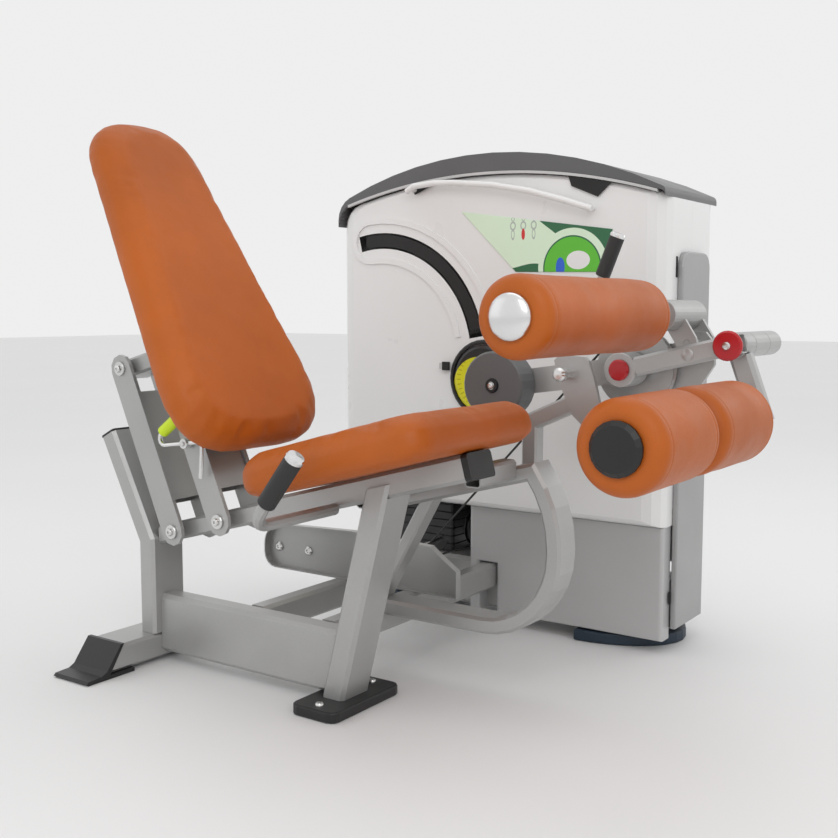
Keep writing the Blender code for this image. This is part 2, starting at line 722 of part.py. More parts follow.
def release_lever():
    grip_low, grip_top = Vector((-0.525, LEVER_Y, 0.600)), Vector((-0.440, LEVER_Y, 0.661))
    heading = math.degrees(math.atan2(grip_top.z - grip_low.z, grip_top.x - grip_low.x))
    bend = 0.016
    centre = (grip_low.x + bend * math.sin(math.radians(heading)),
              grip_low.z - bend * math.cos(math.radians(heading)))
    path = [point((grip_low.x, grip_low.z), LEVER_Y)]
    path[0] += (grip_top - grip_low).normalized() * 0.060
    path += [point(p, LEVER_Y) for p in arc(centre, bend, heading + 90, 277.6, 5)]
    corner = path[-1] + direction(7.6) * 0.129
    down = Vector((-0.393, LEVER_Y, 0.500))
    path += fillet([path[-1], corner, down], 0.012, 3)[1:]
    lever = sweep("release_lever", circle(0.0055, 8), path, (0, 1, 0), "iron",
                  origin=point(LEVER_PIVOT, LEVER_Y))
    unite(lever, rod("lever_boss", point(LEVER_PIVOT, LEVER_Y - 0.009),
                     point(LEVER_PIVOT, LEVER_Y + 0.012), 0.0125, "iron"))
    drill(lever, LEVER_PIVOT, LEVER_Y - 0.03, LEVER_Y + 0.03, 0.0055 + GAP)
    sleeve("release_grip", grip_low + (grip_top - grip_low).normalized() * 0.002, grip_top,
           0.0145, 0.0055 + GAP, "lever_green", 20, 0.004)


# ---------------------------------------------------------------- leg mechanism
STOP_Y = (0.0, 0.012)        # the near stop plate
PLATE_Y = (0.146, 0.158)     # the far plate that carries the fixed axle
HUB_Y = (0.033, 0.1052)
COUNTER_Y = (0.1055, 0.1175)
DRUM_Y = (0.1178, 0.1435)
LEVER_TUBE_Y = (0.035, 0.075)
DRUM_RADIUS = 0.090
AXLE = 0.012                 # radius of the fixed axle
SHAFT = 0.014                # radius of the toggle shaft


def plug_profile(radius, bore, length):
    """Closed (radius, distance) loop of a bored drum with softened edges."""
    edge = 0.002
    return [(bore, 0), (radius - edge, 0), (radius, edge), (radius, length - edge),
            (radius - edge, length), (bore, length)]


def knee_supports():
    brace_y = (0.0123, 0.0523)
    middle = sum(brace_y) / 2
    stub = tube("loop_stub", [(0.235, LOOP_Y + LOOP_SIZE[0] / 2 + GAP, 0.5136),
                              (0.235, brace_y[0] + 0.001, 0.5136)], (1, 0, 0), 0.034, 0.034,
                "steel_paint", radius=0.005)
    path = [(0.235, middle, 0.494), (0.235, middle, 0.632), (0.395, middle, 0.7032)]
    brace = tube("knee_brace", path, (0, 1, 0), brace_y[1] - brace_y[0], 0.042,
                 "steel_paint", radius=0.005)
    unite(brace, stub)
    outline = [(0.308, 0.783), (0.314, 0.754), (0.324, 0.725), (0.340, 0.690), (0.358, 0.655)]
    outline += arc((0.410, 0.640), 0.026, 200, 350, 8)
    outline += [(0.430, 0.665), (0.424, 0.690), (0.410, 0.745), (0.396, 0.783)]
    outline += [(0.386, 0.792), (0.345, 0.794), (0.318, 0.792)]
    stop = prism("stop_plate", outline, STOP_Y[0], STOP_Y[1], "steel_paint")
    pull = (0.342, 0.752)
    unite(stop, rod("pin_collar", point(pull, STOP_Y[0] + 0.002), point(pull, -0.018), 0.0125,
                    "steel_paint", 20))
    bolt = turned("stop_bolt", [(0, 0), (0.009, 0), (0.009, 0.006), (0.006, 0.008), (0, 0.008)],
                  (0.410, STOP_Y[0] + 0.002, 0.640), (0, -1, 0), "chrome", 12)
    unite(stop, bolt)
    drill(stop, pull, -0.05, 0.03, 0.0060 + GAP)
    turned("pull_pin", [(0, 0), (0.006, 0), (0.006, 0.0385), (0.014, 0.040), (0.017, 0.048),
                        (0.016, 0.060), (0.011, 0.066), (0, 0.067)],
           point(pull, 0.0195), (0, -1, 0), "black_plastic", 24)
    outline = [(0.400, 0.612), (0.424, 0.614), (0.440, 0.640), (0.462, 0.668), (0.500, 0.690)]
    outline += [(0.555, 0.700), (0.610, 0.728), (0.640, 0.775), (0.638, 0.825)]
    outline += [(0.618, 0.850), (0.590, 0.850), (0.540, 0.822), (0.480, 0.822)]
    outline += [(0.440, 0.812), (0.408, 0.780), (0.398, 0.720), (0.386, 0.640)]
    plate = prism("knee_plate", outline, PLATE_Y[0], PLATE_Y[1], "steel_paint")
    unite(plate, rod("spacer_bar", (0.410, STOP_Y[1] + GAP, 0.640),
                     (0.410, PLATE_Y[0] + 0.002, 0.640), 0.015, "steel_paint"))
    unite(plate, rod("knee_axle", point(KNEE, HUB_Y[0]), point(KNEE, PLATE_Y[0] + 0.002), AXLE,
                     "steel_paint", 24))
    unite(plate, turned("thigh_pin", [(0, 0), (0.0070, 0), (0.0070, 0.1194), (0.014, 0.1194),
                                      (0.014, 0.1248), (0, 0.1248)],
                        point(THIGH_PIVOT, 0.0780), (0, 1, 0), "steel_paint", 20))
    turned("axle_cap", [(0, 0), (0.0245, 0), (0.0245, 0.005), (0.021, 0.008), (0, 0.009)],
           point(KNEE, HUB_Y[0] - GAP), (0, -1, 0), "red_cap", 24)


def lever():
    knee = point(KNEE, 0)
    along = Vector((TOGGLE[0] - KNEE[0], 0, TOGGLE[1] - KNEE[1])).normalized()
    hub = turned("lever_arm", plug_profile(0.040, AXLE + GAP, HUB_Y[1] - HUB_Y[0] + 0.002),
                 point(KNEE, HUB_Y[0]), (0, 1, 0), "steel_paint", 24, ring=True)
    middle = (LEVER_TUBE_Y[0] + LEVER_TUBE_Y[1]) / 2
    start = knee + along * 0.0375 + Vector((0, middle, 0))
    end = point(TOGGLE, middle) + along * 0.026
    unite(hub, tube("lever_tube", [start, end], (0, 1, 0), LEVER_TUBE_Y[1] - LEVER_TUBE_Y[0],
                    0.044, "steel_paint", radius=0.006))
    counter = round_link("counter_bar", KNEE, COUNTER, 0.031, COUNTER_Y[0], COUNTER_Y[1],
                         "steel_paint")
    drill(counter, KNEE, 0.08, 0.14, AXLE + GAP)
    unite(hub, counter)
    shaft = turned("toggle_shaft", [(0, 0), (SHAFT, 0), (SHAFT, 0.1065), (0.0285, 0.1065),
                                    (0.0285, 0.200), (0.0275, 0.201), (0.0275, 0.204),
                                    (0.0285, 0.205), (0.0285, 0.285), (0.020, 0.294),
                                    (0, 0.296)],
                   point(TOGGLE, LEVER_TUBE_Y[0] - 0.001), (0, 1, 0), "steel_paint", 20)
    unite(hub, shaft)
    weight = [(0, 0), (0.016, 0), (0.018, 0.004), (0.018, 0.0062), (0.080, 0.0062),
              (0.085, 0.0112), (0.085, 0.0712), (0.080, 0.0762), (0, 0.0762)]
    turned("counterweight", weight, point(COUNTER, 0.0290), (0, 1, 0), "steel_paint", 30)
    groove = [(AXLE + GAP, 0), (DRUM_RADIUS + 0.006, 0), (DRUM_RADIUS + 0.006, 0.005),
              (DRUM_RADIUS, 0.008), (DRUM_RADIUS, 0.0177), (DRUM_RADIUS + 0.006, 0.0207),
              (DRUM_RADIUS + 0.006, 0.0257), (AXLE + GAP, 0.0257)]
    turned("cable_drum", groove, point(KNEE, DRUM_Y[0]), (0, 1, 0), "black_plastic", 30,
           ring=True)
    turned("shaft_cap", [(0, 0), (0.033, 0), (0.033, 0.004), (0.029, 0.008), (0, 0.009)],
           point(TOGGLE, LEVER_TUBE_Y[0] - 0.001 - GAP), (0, -1, 0), "red_cap", 24)


def foam_roller(name, pair, lo, hi, radius, bore):
    """Foam sleeve with soft end edges and dished ends."""
    length = hi - lo
    soft = 0.028
    edge = []
    for k in range(4):
        angle = math.pi / 2 * k / 3
        edge.append((radius - soft * (1 - math.sin(angle)), soft * (1 - math.cos(angle))))
    profile = [(bore, 0.004)] + edge
    profile += [(r, length - d) for r, d in reversed(edge)] + [(bore, length - 0.004)]
    turned(name, profile, point(pair, lo), (0, 1, 0), "orange_vinyl", 28, ring=True)


def rollers():
    hub = (0.0765, 0.1400)
    ankle = turned("ankle_arm", plug_profile(0.0285, SHAFT + GAP, hub[1] - hub[0]),
                   point(TOGGLE, hub[0]), (0, 1, 0), "steel_paint", 24, ring=True)
    down = Vector((ANKLE[0] - TOGGLE[0], 0, ANKLE[1] - TOGGLE[1])).normalized()
    middle = hub[0] + 0.0200
    start = point(TOGGLE, middle) + down * 0.0260
    end = point(ANKLE, middle) + down * 0.018
    unite(ankle, tube("ankle_tube", [start, end], (0, 1, 0), 0.036, 0.048,
                      "steel_paint", radius=0.008))
    axle = [(0, 0), (0.012, 0), (0.040, 0.002), (0.048, 0.009), (0.048, 0.014), (0.0125, 0.014),
            (0.0125, 0.7680), (0, 0.7680)]
    unite(ankle, turned("ankle_axle", axle, point(ANKLE, -0.6555), (0, 1, 0), "chrome", 20))
    foam_roller("ankle_roller_near", ANKLE, -0.640, -0.374, ANKLE_RADIUS, 0.0130)
    foam_roller("ankle_roller_far", ANKLE, -0.352, -0.062, ANKLE_RADIUS, 0.0130)
    near, far = (0.0780, 0.0880), (0.185, 0.197)
    clamp = round_link("thigh_arm", THIGH_PIVOT, THIGH, 0.024, near[0], near[1], "steel_paint")
    unite(clamp, round_link("far_bar", THIGH_PIVOT, THIGH, 0.024, far[0], far[1],
                            "steel_paint"))
    unite(clamp, rod("socket", point(THIGH, 0.0200), point(THIGH, 0.212), 0.035,
                     "steel_paint", 32))
    axle = [(0, 0), (0.018, 0.002), (0.034, 0.008), (0.042, 0.015), (0.042, 0.018),
            (0.015, 0.018), (0.015, 0.742), (0, 0.742)]
    unite(clamp, turned("thigh_axle", axle, point(THIGH, -0.6585), (0, 1, 0), "chrome", 20))
    drill(clamp, THIGH_PIVOT, 0.0, 0.3, 0.0070 + GAP)
    foam_roller("thigh_roller", THIGH, -0.640, -0.086, THIGH_RADIUS, 0.0155)
    heading = direction(167.3)
    start = Vector((THIGH[0], 0.142, THIGH[1])) + heading * 0.0354
    low, top = Vector((0.360, 0.142, 0.980)), Vector((0.397, 0.142, 1.072))
    rise = (top - low).normalized()
    corner = low - rise * 0.046
    start.z = corner.z + (start.x - corner.x) * math.tan(math.radians(167.3))
    path = fillet([start, corner, low + rise * 0.050], 0.030)
    grip = sweep("start_grip", circle(0.010, 12), path, (0, 1, 0), "steel_paint")
    sleeve_profile = [(0, 0), (0.016, 0), (0.018, 0.003), (0.018, 0.099), (0.0185, 0.0995),
                      (0.0185, 0.105), (0.016, 0.109), (0, 0.110)]
    unite(grip, turned("grip_sleeve", sleeve_profile, low, rise, "black_plastic", 20))


# ---------------------------------------------------------------- weight tower
def tower_outline(low, drop):
    """Side outline of the tower down to a given height, for any inset."""
    def outline(inset):
        left, right = TOWER_X[0] + inset, TOWER_X[1] - inset
        sag = 0.1185 - 0.78 * drop
        big = (0.2704 + sag ** 2) / (2 * sag)
        base = ROOF[1] - drop - inset * 0.4 - big
        pairs = [(left, low + inset * 0.4), (right, low + inset * 0.4)]
        for edge, way in ((right, 1), (left, -1)):
            radius = 0.016 if way > 0 else 0.070
            cx = edge - way * radius
            cz = base + math.sqrt((big - radius) ** 2 - (cx - ROOF[0]) ** 2)
            meet = math.degrees(math.atan2(cz - base, cx - ROOF[0]))
            if way > 0:
                pairs += arc((cx, cz), radius, 0, meet, 4)
                right_meet = meet
            else:
                pairs += arc((ROOF[0], base), big, right_meet, meet, 12)[1:-1]
                pairs += arc((cx, cz), radius, meet, 180, 4)
        return pairs
    return outline


def rounding(face, rim, radius, skin, steps=3):
    """(y, inset) rows from the rim to the face for the outer and the inner skin."""
    way = 1 if rim > face else -1
    outer, inner = [(rim, 0.0)], []
    for k in range(steps + 1):
        angle = math.pi / 2 * k / steps
        depth = radius * (1 - math.sin(angle))
        outer.append((face + way * depth, radius * (1 - math.cos(angle))))
        inner.append((face + way * (depth + skin * (math.sin(angle))),
                      radius * (1 - math.cos(angle)) + skin))
    return outer, inner[::-1] + [(rim, skin)]


def shrouds():
    cap_drop = 0.050
    for name, face, rim, low in (("shroud_near", TOWER_Y[0], TOWER_MID - GAP / 2, 0.338),
                                 ("shroud_far", TOWER_Y[1], TOWER_MID + GAP / 2, 0.190)):
        outer, inner = rounding(face, rim, 0.050, SHELL)
        made = shell(name, tower_outline(low, cap_drop), outer, inner, "shroud_white")
        depth = sorted((face + (rim - face) * 0.30, rim + (rim - face) * 0.05))
        cut(made, box("cut_" + name, (TOWER_X[0] + 0.006, TOWER_X[1] - 0.006), depth,
                      (low - 0.010, low + 0.012), "chrome"))
        if name == "shroud_near":
            cut(made, prism("cut_slot", slot_outline(0.017, 14), face - 0.02, face + 0.02,
                            "chrome"))
            outer, inner = slot_outline(0.066, 12), slot_outline(0.050, 12)
            ridge = outer[:-1] + [outer[-1]] + inner[::-1]
            unite(made, prism("ridge", ridge, face - 0.005, face + 0.002, "shroud_white"))

    def low_outline(inset):
        left, right = -0.157 + inset, TOWER_X[1] - 0.004 - inset
        low, high, step = 0.034 + inset * 0.4, 0.3377 - inset * 0.4, 0.178 + inset * 0.4
        notch = (-0.1235 - inset, -0.0665 + inset)
        return [(left, low), (notch[0], low), (notch[0], step), (notch[1], step),
                (notch[1], low), (right, low), (right, high), (left, high)]

    face = TOWER_Y[0] + 0.040
    outer, inner = rounding(face, TOWER_BASE_Y[0] - GAP, 0.010, SHELL)
    shell("shroud_low", low_outline, outer, inner, "shroud_white")


def slot_outline(half, start):
    """Open outline around the curved slot at a half width, rounded at its far end."""
    end = 96.5
    tip = (SLOT[0] + SLOT[2] * math.cos(math.radians(end)),
           SLOT[1] + SLOT[2] * math.sin(math.radians(end)))
    pairs = arc(SLOT[:2], SLOT[2] + half, start, end, 12)[:-1]
    pairs += arc(tip, half, end, end + 180, 8)
    return pairs + arc(SLOT[:2], SLOT[2] - half, end, start, 12)[1:]


def tower_cap():
    top = tower_outline(0.9, 0.0)(0.0)[2:]
    under = tower_outline(0.9, 0.050 - GAP)(0.0)[2:]
    inner = tower_outline(0.9, 0.006)(0.006)[2:]
    grow = 0.004
    outline = [(x + (grow if x > 0 else -grow) * 0, z) for x, z in top] + under[::-1]
    lid = prism("tower_cap", outline, TOWER_Y[0] - 0.006, TOWER_Y[1] + 0.003, "cap_grey")
    hollow = inner + [(inner[-1][0], 0.9), (inner[0][0], 0.9)]
    cut(lid, prism("cut_lid", hollow, TOWER_Y[0] + 0.004, TOWER_Y[1] - 0.004, "chrome"))
    add_bevel_first(lid, 0.006)


def add_bevel_first(made, width):
    """Soften the long edges before the hollow is cut."""
    add_bevel(made, width, 1)
    made.modifiers.move(len(made.modifiers) - 1, 0)


def tower_details():
    x = TOWER_X[1]
    outline = [(0.415, 0.060), (0.605, 0.060)]
    outline += arc((0.605 - 0.040, 1.010), 0.040, 0, 90, 5)
    outline += arc((0.415 + 0.040, 1.010), 0.040, 90, 180, 5)
    column = prism("front_column", outline, x + GAP, x + 0.016, "column_grey", axis="X")
    add_bevel(column, 0.004)
    for name, cx, ax, ay, way in (("tower_foot_front", 0.185, 0.250, 0.168, 1),
                                  ("tower_foot_rear", -0.300, 0.230, 0.150, -1)):
        pairs = []
        for k in range(17):
            angle = math.pi * (k / 16 - 0.5)
            pairs.append((cx + way * ax * math.cos(angle), 0.528 + ay * math.sin(angle)))
        foot = prism(name, pairs, 0.0, 0.0307, "navy_foot", axis="Z")
        add_bevel(foot, 0.005)
    face = TOWER_Y[0] - GAP
    panel = [(-0.161, 1.172), (0.014, 1.003), (0.264, 0.998), (0.298, 1.106)]
    made = prism("info_panel", panel, face - 0.003, face, "panel_green")
    add_bevel(made, 0.001, 1)
    bar = [(-0.330, 1.236), (-0.304, 1.249), (-0.235, 1.2535), (-0.167, 1.250),
           (-0.047, 1.237), (0.069, 1.214), (0.179, 1.182), (0.252, 1.158)]
    made = sweep("grab_bar", circle(0.0085, 12), [(x, face - 0.030, z) for x, z in bar],
                 (0, 1, 0), "shroud_white")
    for index, pair in enumerate(((-0.318, 1.2420), (0.240, 1.1620))):
        unite(made, rod("bar_leg_%d" % index, point(pair, face - 0.030), point(pair, face),
                        0.0075, "shroud_white", 16))
    middle = (-0.087, face, 0.708)
    turned("dial_ring", [(0.097, 0), (0.110, 0), (0.108, 0.006), (0.103, 0.009), (0.097, 0.009)],
           middle, (0, -1, 0), "black_plastic", 32, ring=True)
    turned("dial_disc", [(0, 0), (0.0955, 0), (0.0955, 0.005), (0.086, 0.008), (0.050, 0.003),
                         (0.026, 0.003), (0.022, 0.020), (0.017, 0.024), (0, 0.024)],
           middle, (0, -1, 0), "dial_yellow", 28)


MAST_X = 0.070
BEAM_TOP_Z = 1.150
PULLEY_R = 0.090
SMALL_R = 0.045


def pulley(name, centre, axis, radius, bore):
    rim, half = 0.006, 0.007
    profile = [(bore, -half), (radius + rim, -half), (radius + rim, -half + 0.002),
               (radius - 0.0015, -0.0035), (radius - 0.0015, 0.0035),
               (radius + rim, half - 0.002),
               (radius + rim, half), (bore, half)]
    return turned(name, profile, centre, axis, "black_plastic", 26, ring=True)


def tower_frame():
    y = TOWER_MID
    base_tube = tube("tower_base", [(-0.530, y, 0.1010), (0.400, y, 0.1010)], (0, 1, 0),
                     TOWER_BASE_Y[1] - TOWER_BASE_Y[0], 0.1400, "steel_paint",
                     radius=0.010, wall=0.004)
    floor = 0.1710 + GAP
    mast = tube("tower_mast", [(MAST_X, y, floor - 0.002), (MAST_X, y, BEAM_TOP_Z),
                               (-0.470, y, BEAM_TOP_Z)], (0, 1, 0), 0.120, 0.030,
                "steel_paint", radius=0.005)
    unite(base_tube, mast)
    under = BEAM_TOP_Z - 0.015 - GAP
    for name, side in (("guide_rod_near", -1), ("guide_rod_far", 1)):
        unite(base_tube, rod(name, (STACK_X, y + side * 0.040, floor - 0.002),
                             (STACK_X, y + side * 0.040, under + 0.002), 0.009, "chrome", 16))
    levels = []
    for k in range(RESTING):
        base = floor + k * PLATE
        for height, inset in ((0, 0.002), (0.002, 0), (PLATE - 0.002, 0)):
            levels.append((base + height, inset))
    levels.append((floor + RESTING * PLATE, 0.002))
    stack("stack_resting", levels)
    levels = []
    base = floor + RESTING * PLATE + GAP
    for k in range(LIFTED):
        for height, inset in ((0, 0.002), (0.002, 0), (PLATE - 0.002, 0)):
            levels.append((base + k * PLATE + height, inset))
    levels.append((base + LIFTED * PLATE, 0.002))
    lifted = stack("stack_lifted", levels)
    head = base + LIFTED * PLATE
    unite(lifted, rod("head_stem", (STACK_X, y, head - 0.010), (STACK_X, y, head + 0.030),
                      0.011, "iron", 20))
    return head + 0.030, base_tube


def stack(name, levels):
    rows = []
    for z, inset in levels:
        outline = rounded(STACK_SIZE[0] - 2 * inset, STACK_SIZE[1] - 2 * inset, 0.008, 2)
        rows.append((Vector((STACK_X, TOWER_MID, z)), [(s, f) for s, f in outline]))
    made = loft(name, rows, (1, 0, 0), (0, 0, 1), "iron")
    lo, hi = levels[0][0] - 0.01, levels[-1][0] + 0.01
    for side in (-1, 1):
        y = TOWER_MID + side * 0.040
        cut(made, rod("cut_%s_%d" % (name, side + 1), (STACK_X, y, lo), (STACK_X, y, hi),
                      0.0105, "chrome", 20))
    return made


def cable_run(stack_top, tray, base_tube):
    """The cable from the drum over three pulleys to the stack, and the pulleys."""
    y_low = 0.131
    up_x = STACK_X + 2 * (PULLEY_R + CABLE)
    corner = Vector((up_x, y_low, 0.205))
    to_knee = Vector((KNEE[0] - corner.x, 0, KNEE[1] - corner.z))
    wrap = DRUM_RADIUS + CABLE + GAP
    heading = math.degrees(math.atan2(to_knee.z, to_knee.x))
    heading += math.degrees(math.asin(wrap / to_knee.length))
    arriving = -direction(heading)
    drum_point = point(KNEE, y_low) + direction(heading + 90) * wrap
    reach = SMALL_R + CABLE + GAP
    first = corner - arriving * reach + Vector((0, reach, 0))
    axis = arriving.cross(Vector((0, 1, 0))).normalized()
    low_corner = Vector((up_x, TOWER_MID, corner.z))
    top = Vector((up_x - PULLEY_R - CABLE, TOWER_MID, 1.000))
    top_reach = PULLEY_R + CABLE + GAP
    path = fillet([drum_point, corner, low_corner, Vector((up_x, TOWER_MID, top.z))], reach, 6)
    for k in range(13):
        angle = math.pi * k / 12
        path.append(top + Vector((top_reach * math.cos(angle), 0, top_reach * math.sin(angle))))
    path.append(top + Vector((-top_reach, 0, -0.010)))
    strand("lift_cable", path[:-15] + path[-14:], CABLE, "cable_black")
    start = top + Vector((-top_reach, 0, -0.010 - GAP))
    strand("stack_cable", [start, Vector((start.x, start.y, stack_top + GAP))], CABLE,
           "cable_black")
    bore = 0.0065
    pulley("pulley_low_near", first, axis, SMALL_R, bore)
    second = low_corner + Vector((0, -reach, reach))
    pulley("pulley_low_far", second, (1, 0, 0), SMALL_R, bore)
    pulley("pulley_top", top, (0, 1, 0), PULLEY_R, bore)
    # Brackets: a flat plate beside each pulley with a pin through its bore.
    along = arriving
    offset = -axis * 0.0115
    base = Vector((first.x, 0.0015, first.z)) + offset
    tip = Vector((first.x, first.y + 0.026, first.z)) + offset
    plate = sweep("bracket_near", rounded(0.050, 0.006, 0.002, 2), [base, tip], along,
                  "steel_paint")
    unite(tray, plate)
    unite(tray, rod("pin_near", first - axis * 0.0115, first + axis * 0.0075, bore - GAP,
                     "iron", 20))
    under = BEAM_TOP_Z - 0.015 - GAP
    plate = box("bracket_top", (top.x - 0.025, top.x + 0.025),
                (top.y + 0.0085, top.y + 0.0145), (top.z - 0.030, under + 0.002),
                "steel_paint")
    unite(base_tube, plate)
    unite(base_tube, rod("pin_top", (top.x, top.y - 0.0085, top.z), (top.x, top.y + 0.0115, top.z),
                     bore - GAP, "iron", 20))
    plate = box("bracket_low", (second.x + 0.0085, second.x + 0.0145),
                (second.y - 0.025, second.y + 0.025), (0.1695, second.z + 0.030),
                "steel_paint")
    unite(base_tube, plate)
    unite(base_tube, rod("pin_low", (second.x - 0.0085, second.y, second.z),
                     (second.x + 0.0115, second.y, second.z), bore - GAP, "iron", 20))


def centre_on_floor():
    """Move everything so the origin lies under the middle of the machine."""
    for item in bpy.data.objects:
        if item.parent is None:
            item.location += Vector(CENTRE_SHIFT)


def build():
    clear_scene()
    rear_stand()
    base_and_leg()
    front_loop(seat_parts())
    cross_tubes()
    tray = pulley_tray()
    handles()
    backrest_linkage()
    backrest()
    release_lever()
    knee_supports()
    lever()
    rollers()
    shrouds()
    tower_cap()
    tower_details()
    stack_top, base_tube = tower_frame()
    cable_run(stack_top, tray, base_tube)
    centre_on_floor()


build()
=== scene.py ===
"""Looks of the seated leg machine: materials, upholstery, small fittings and studio."""
import math

import bmesh
import bpy
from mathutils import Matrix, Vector, noise


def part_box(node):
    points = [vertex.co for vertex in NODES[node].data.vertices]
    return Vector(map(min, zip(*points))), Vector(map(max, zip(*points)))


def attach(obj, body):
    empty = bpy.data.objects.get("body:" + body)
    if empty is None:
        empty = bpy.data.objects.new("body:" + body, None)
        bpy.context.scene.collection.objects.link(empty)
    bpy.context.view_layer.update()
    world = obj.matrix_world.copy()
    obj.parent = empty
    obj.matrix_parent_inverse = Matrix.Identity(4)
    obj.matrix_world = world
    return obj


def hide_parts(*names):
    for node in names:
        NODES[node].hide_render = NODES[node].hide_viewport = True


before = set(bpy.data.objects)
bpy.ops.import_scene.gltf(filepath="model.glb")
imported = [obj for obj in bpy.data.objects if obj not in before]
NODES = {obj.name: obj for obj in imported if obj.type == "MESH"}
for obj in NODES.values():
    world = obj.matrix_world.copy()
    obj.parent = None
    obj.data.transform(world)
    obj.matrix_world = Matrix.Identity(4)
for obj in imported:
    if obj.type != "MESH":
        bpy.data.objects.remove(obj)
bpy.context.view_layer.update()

SEAT_TILT = math.radians(15.0)
BACK_FACE = Vector((0.8689, 0.0, 0.4950))    # direction that the backrest pad faces
GRIP_RISE = Vector((0.6199, 0.0, 0.7847))    # direction of the seat handles
START_RISE = Vector((0.3732, 0.0, 0.9278))   # direction of the starting grip
NEAR = (0, -1, 0)                            # towards the camera's side
GAP = 0.0002                                 # a fitting's overlap with the part behind it
LINK_LEAN = 0.1760                           # X distance between a link's two pivots
LINK_PIVOT = 0.035                           # from a link's box edges to its pivot
ARCH = 1.7404                                # radius of the cap's lower edge
SHIFT_X = (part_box("shroud_near")[0][0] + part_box("shroud_near")[1][0]) / 2 + 0.080
BOLTS_MID = (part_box("pulley_tray")[0][0] + 0.095, 0.233)   # between the tray's two bolts


# ---------------------------------------------------------------- shader helpers
def new_material(name):
    made = bpy.data.materials.new(name)
    made.use_nodes = True
    return made


class Shader:
    """A Principled material with helpers that read positions in metres."""

    def __init__(self, name):
        self.material = new_material(name)
        self.tree = self.material.node_tree
        self.bsdf = self.tree.nodes["Principled BSDF"]
        self.place = self.add("ShaderNodeTexCoord").outputs["Object"]
        split = self.add("ShaderNodeSeparateXYZ")
        self.link(self.place, split.inputs[0])
        self.axis = {"x": split.outputs[0], "y": split.outputs[1], "z": split.outputs[2]}

    def add(self, kind):
        return self.tree.nodes.new(kind)

    def link(self, output, socket):
        self.tree.links.new(output, socket)

    def put(self, value, socket):
        if isinstance(value, bpy.types.NodeSocket):
            self.link(value, socket)
        elif isinstance(value, (tuple, list)) and len(value) == 3 and len(
                getattr(socket, "default_value", (0, 0, 0))) == 4:
            socket.default_value = (*value, 1.0)
        else:
            socket.default_value = value

    def math(self, operation, first, second=None, third=None):
        node = self.add("ShaderNodeMath")
        node.operation = operation
        for value, socket in zip((first, second, third), node.inputs):
            if value is not None:
                self.put(value, socket)
        return node.outputs[0]

    def above(self, value, limit):
        return self.math("GREATER_THAN", value, limit)

    def below(self, value, limit):
        return self.math("LESS_THAN", value, limit)

    def both(self, first, second):
        return self.math("MULTIPLY", first, second)

    def either(self, first, second):
        return self.math("MAXIMUM", first, second)

    def along(self, direction):
        node = self.add("ShaderNodeVectorMath")
        node.operation = "DOT_PRODUCT"
        self.link(self.place, node.inputs[0])
        node.inputs[1].default_value = tuple(direction)
        return node.outputs["Value"]

    def distance(self, a, b, at, size=(1.0, 1.0)):
        """Scaled distance from a point in the plane of two axes."""
        first = self.math("DIVIDE", self.math("SUBTRACT", self.axis[a], at[0]), size[0])
        second = self.math("DIVIDE", self.math("SUBTRACT", self.axis[b], at[1]), size[1])
        total = self.math("ADD", self.math("MULTIPLY", first, first),
                          self.math("MULTIPLY", second, second))
        return self.math("SQRT", total)

    def noise(self, scale, detail=3.0, roughness=0.5, stretch=None):
        node = self.add("ShaderNodeTexNoise")
        node.inputs["Scale"].default_value = scale
        node.inputs["Detail"].default_value = detail
        node.inputs["Roughness"].default_value = roughness
        if stretch is None:
            self.link(self.place, node.inputs["Vector"])
        else:
            mapping = self.add("ShaderNodeMapping")
            mapping.inputs["Scale"].default_value = stretch
            self.link(self.place, mapping.inputs["Vector"])
            self.link(mapping.outputs[0], node.inputs["Vector"])
        return node.outputs["Fac"]

    def cells(self, scale):
        """Distance to the nearest cell edge of a Voronoi pattern."""
        node = self.add("ShaderNodeTexVoronoi")
        node.feature = "DISTANCE_TO_EDGE"
        node.inputs["Scale"].default_value = scale
        self.link(self.place, node.inputs["Vector"])
        return node.outputs["Distance"]

    def ramp(self, value, low, high, out_low, out_high):
        node = self.add("ShaderNodeMapRange")
        self.put(value, node.inputs["Value"])
        for label, number in (("From Min", low), ("From Max", high), ("To Min", out_low),
                              ("To Max", out_high)):
            node.inputs[label].default_value = number
        return node.outputs["Result"]

    def mix(self, mask, first, second):
        node = self.add("ShaderNodeMix")
        node.data_type = "RGBA"
        self.put(mask, node.inputs[0])
        self.put(first, node.inputs[6])
        self.put(second, node.inputs[7])
        return node.outputs[2]

    def blend(self, mask, first, second):
        node = self.add("ShaderNodeMix")
        self.put(mask, node.inputs[0])
        self.put(first, node.inputs[2])
        self.put(second, node.inputs[3])
        return node.outputs[0]

    def bump(self, height, strength, distance, under=None):
        node = self.add("ShaderNodeBump")
        node.inputs["Strength"].default_value = strength
        node.inputs["Distance"].default_value = distance
        self.put(height, node.inputs["Height"])
        if under is not None:
            self.link(under, node.inputs["Normal"])
        return node.outputs["Normal"]

    def finish(self, colour, roughness, metallic=0.0, normal=None, coat=0.0):
        self.put(colour, self.bsdf.inputs["Base Color"])
        self.put(roughness, self.bsdf.inputs["Roughness"])
        self.put(metallic, self.bsdf.inputs["Metallic"])
        self.bsdf.inputs["Coat Weight"].default_value = coat
        if normal is not None:
            self.link(normal, self.bsdf.inputs["Normal"])
        return self.material


def tinted(shader, colour, amount, scale):
    """A colour with soft, wide variation."""
    value = shader.noise(scale, 4.0)
    darker = tuple(c * (1.0 - amount) for c in colour)
    lighter = tuple(min(1.0, c * (1.0 + amount)) for c in colour)
    return shader.mix(value, darker, lighter)


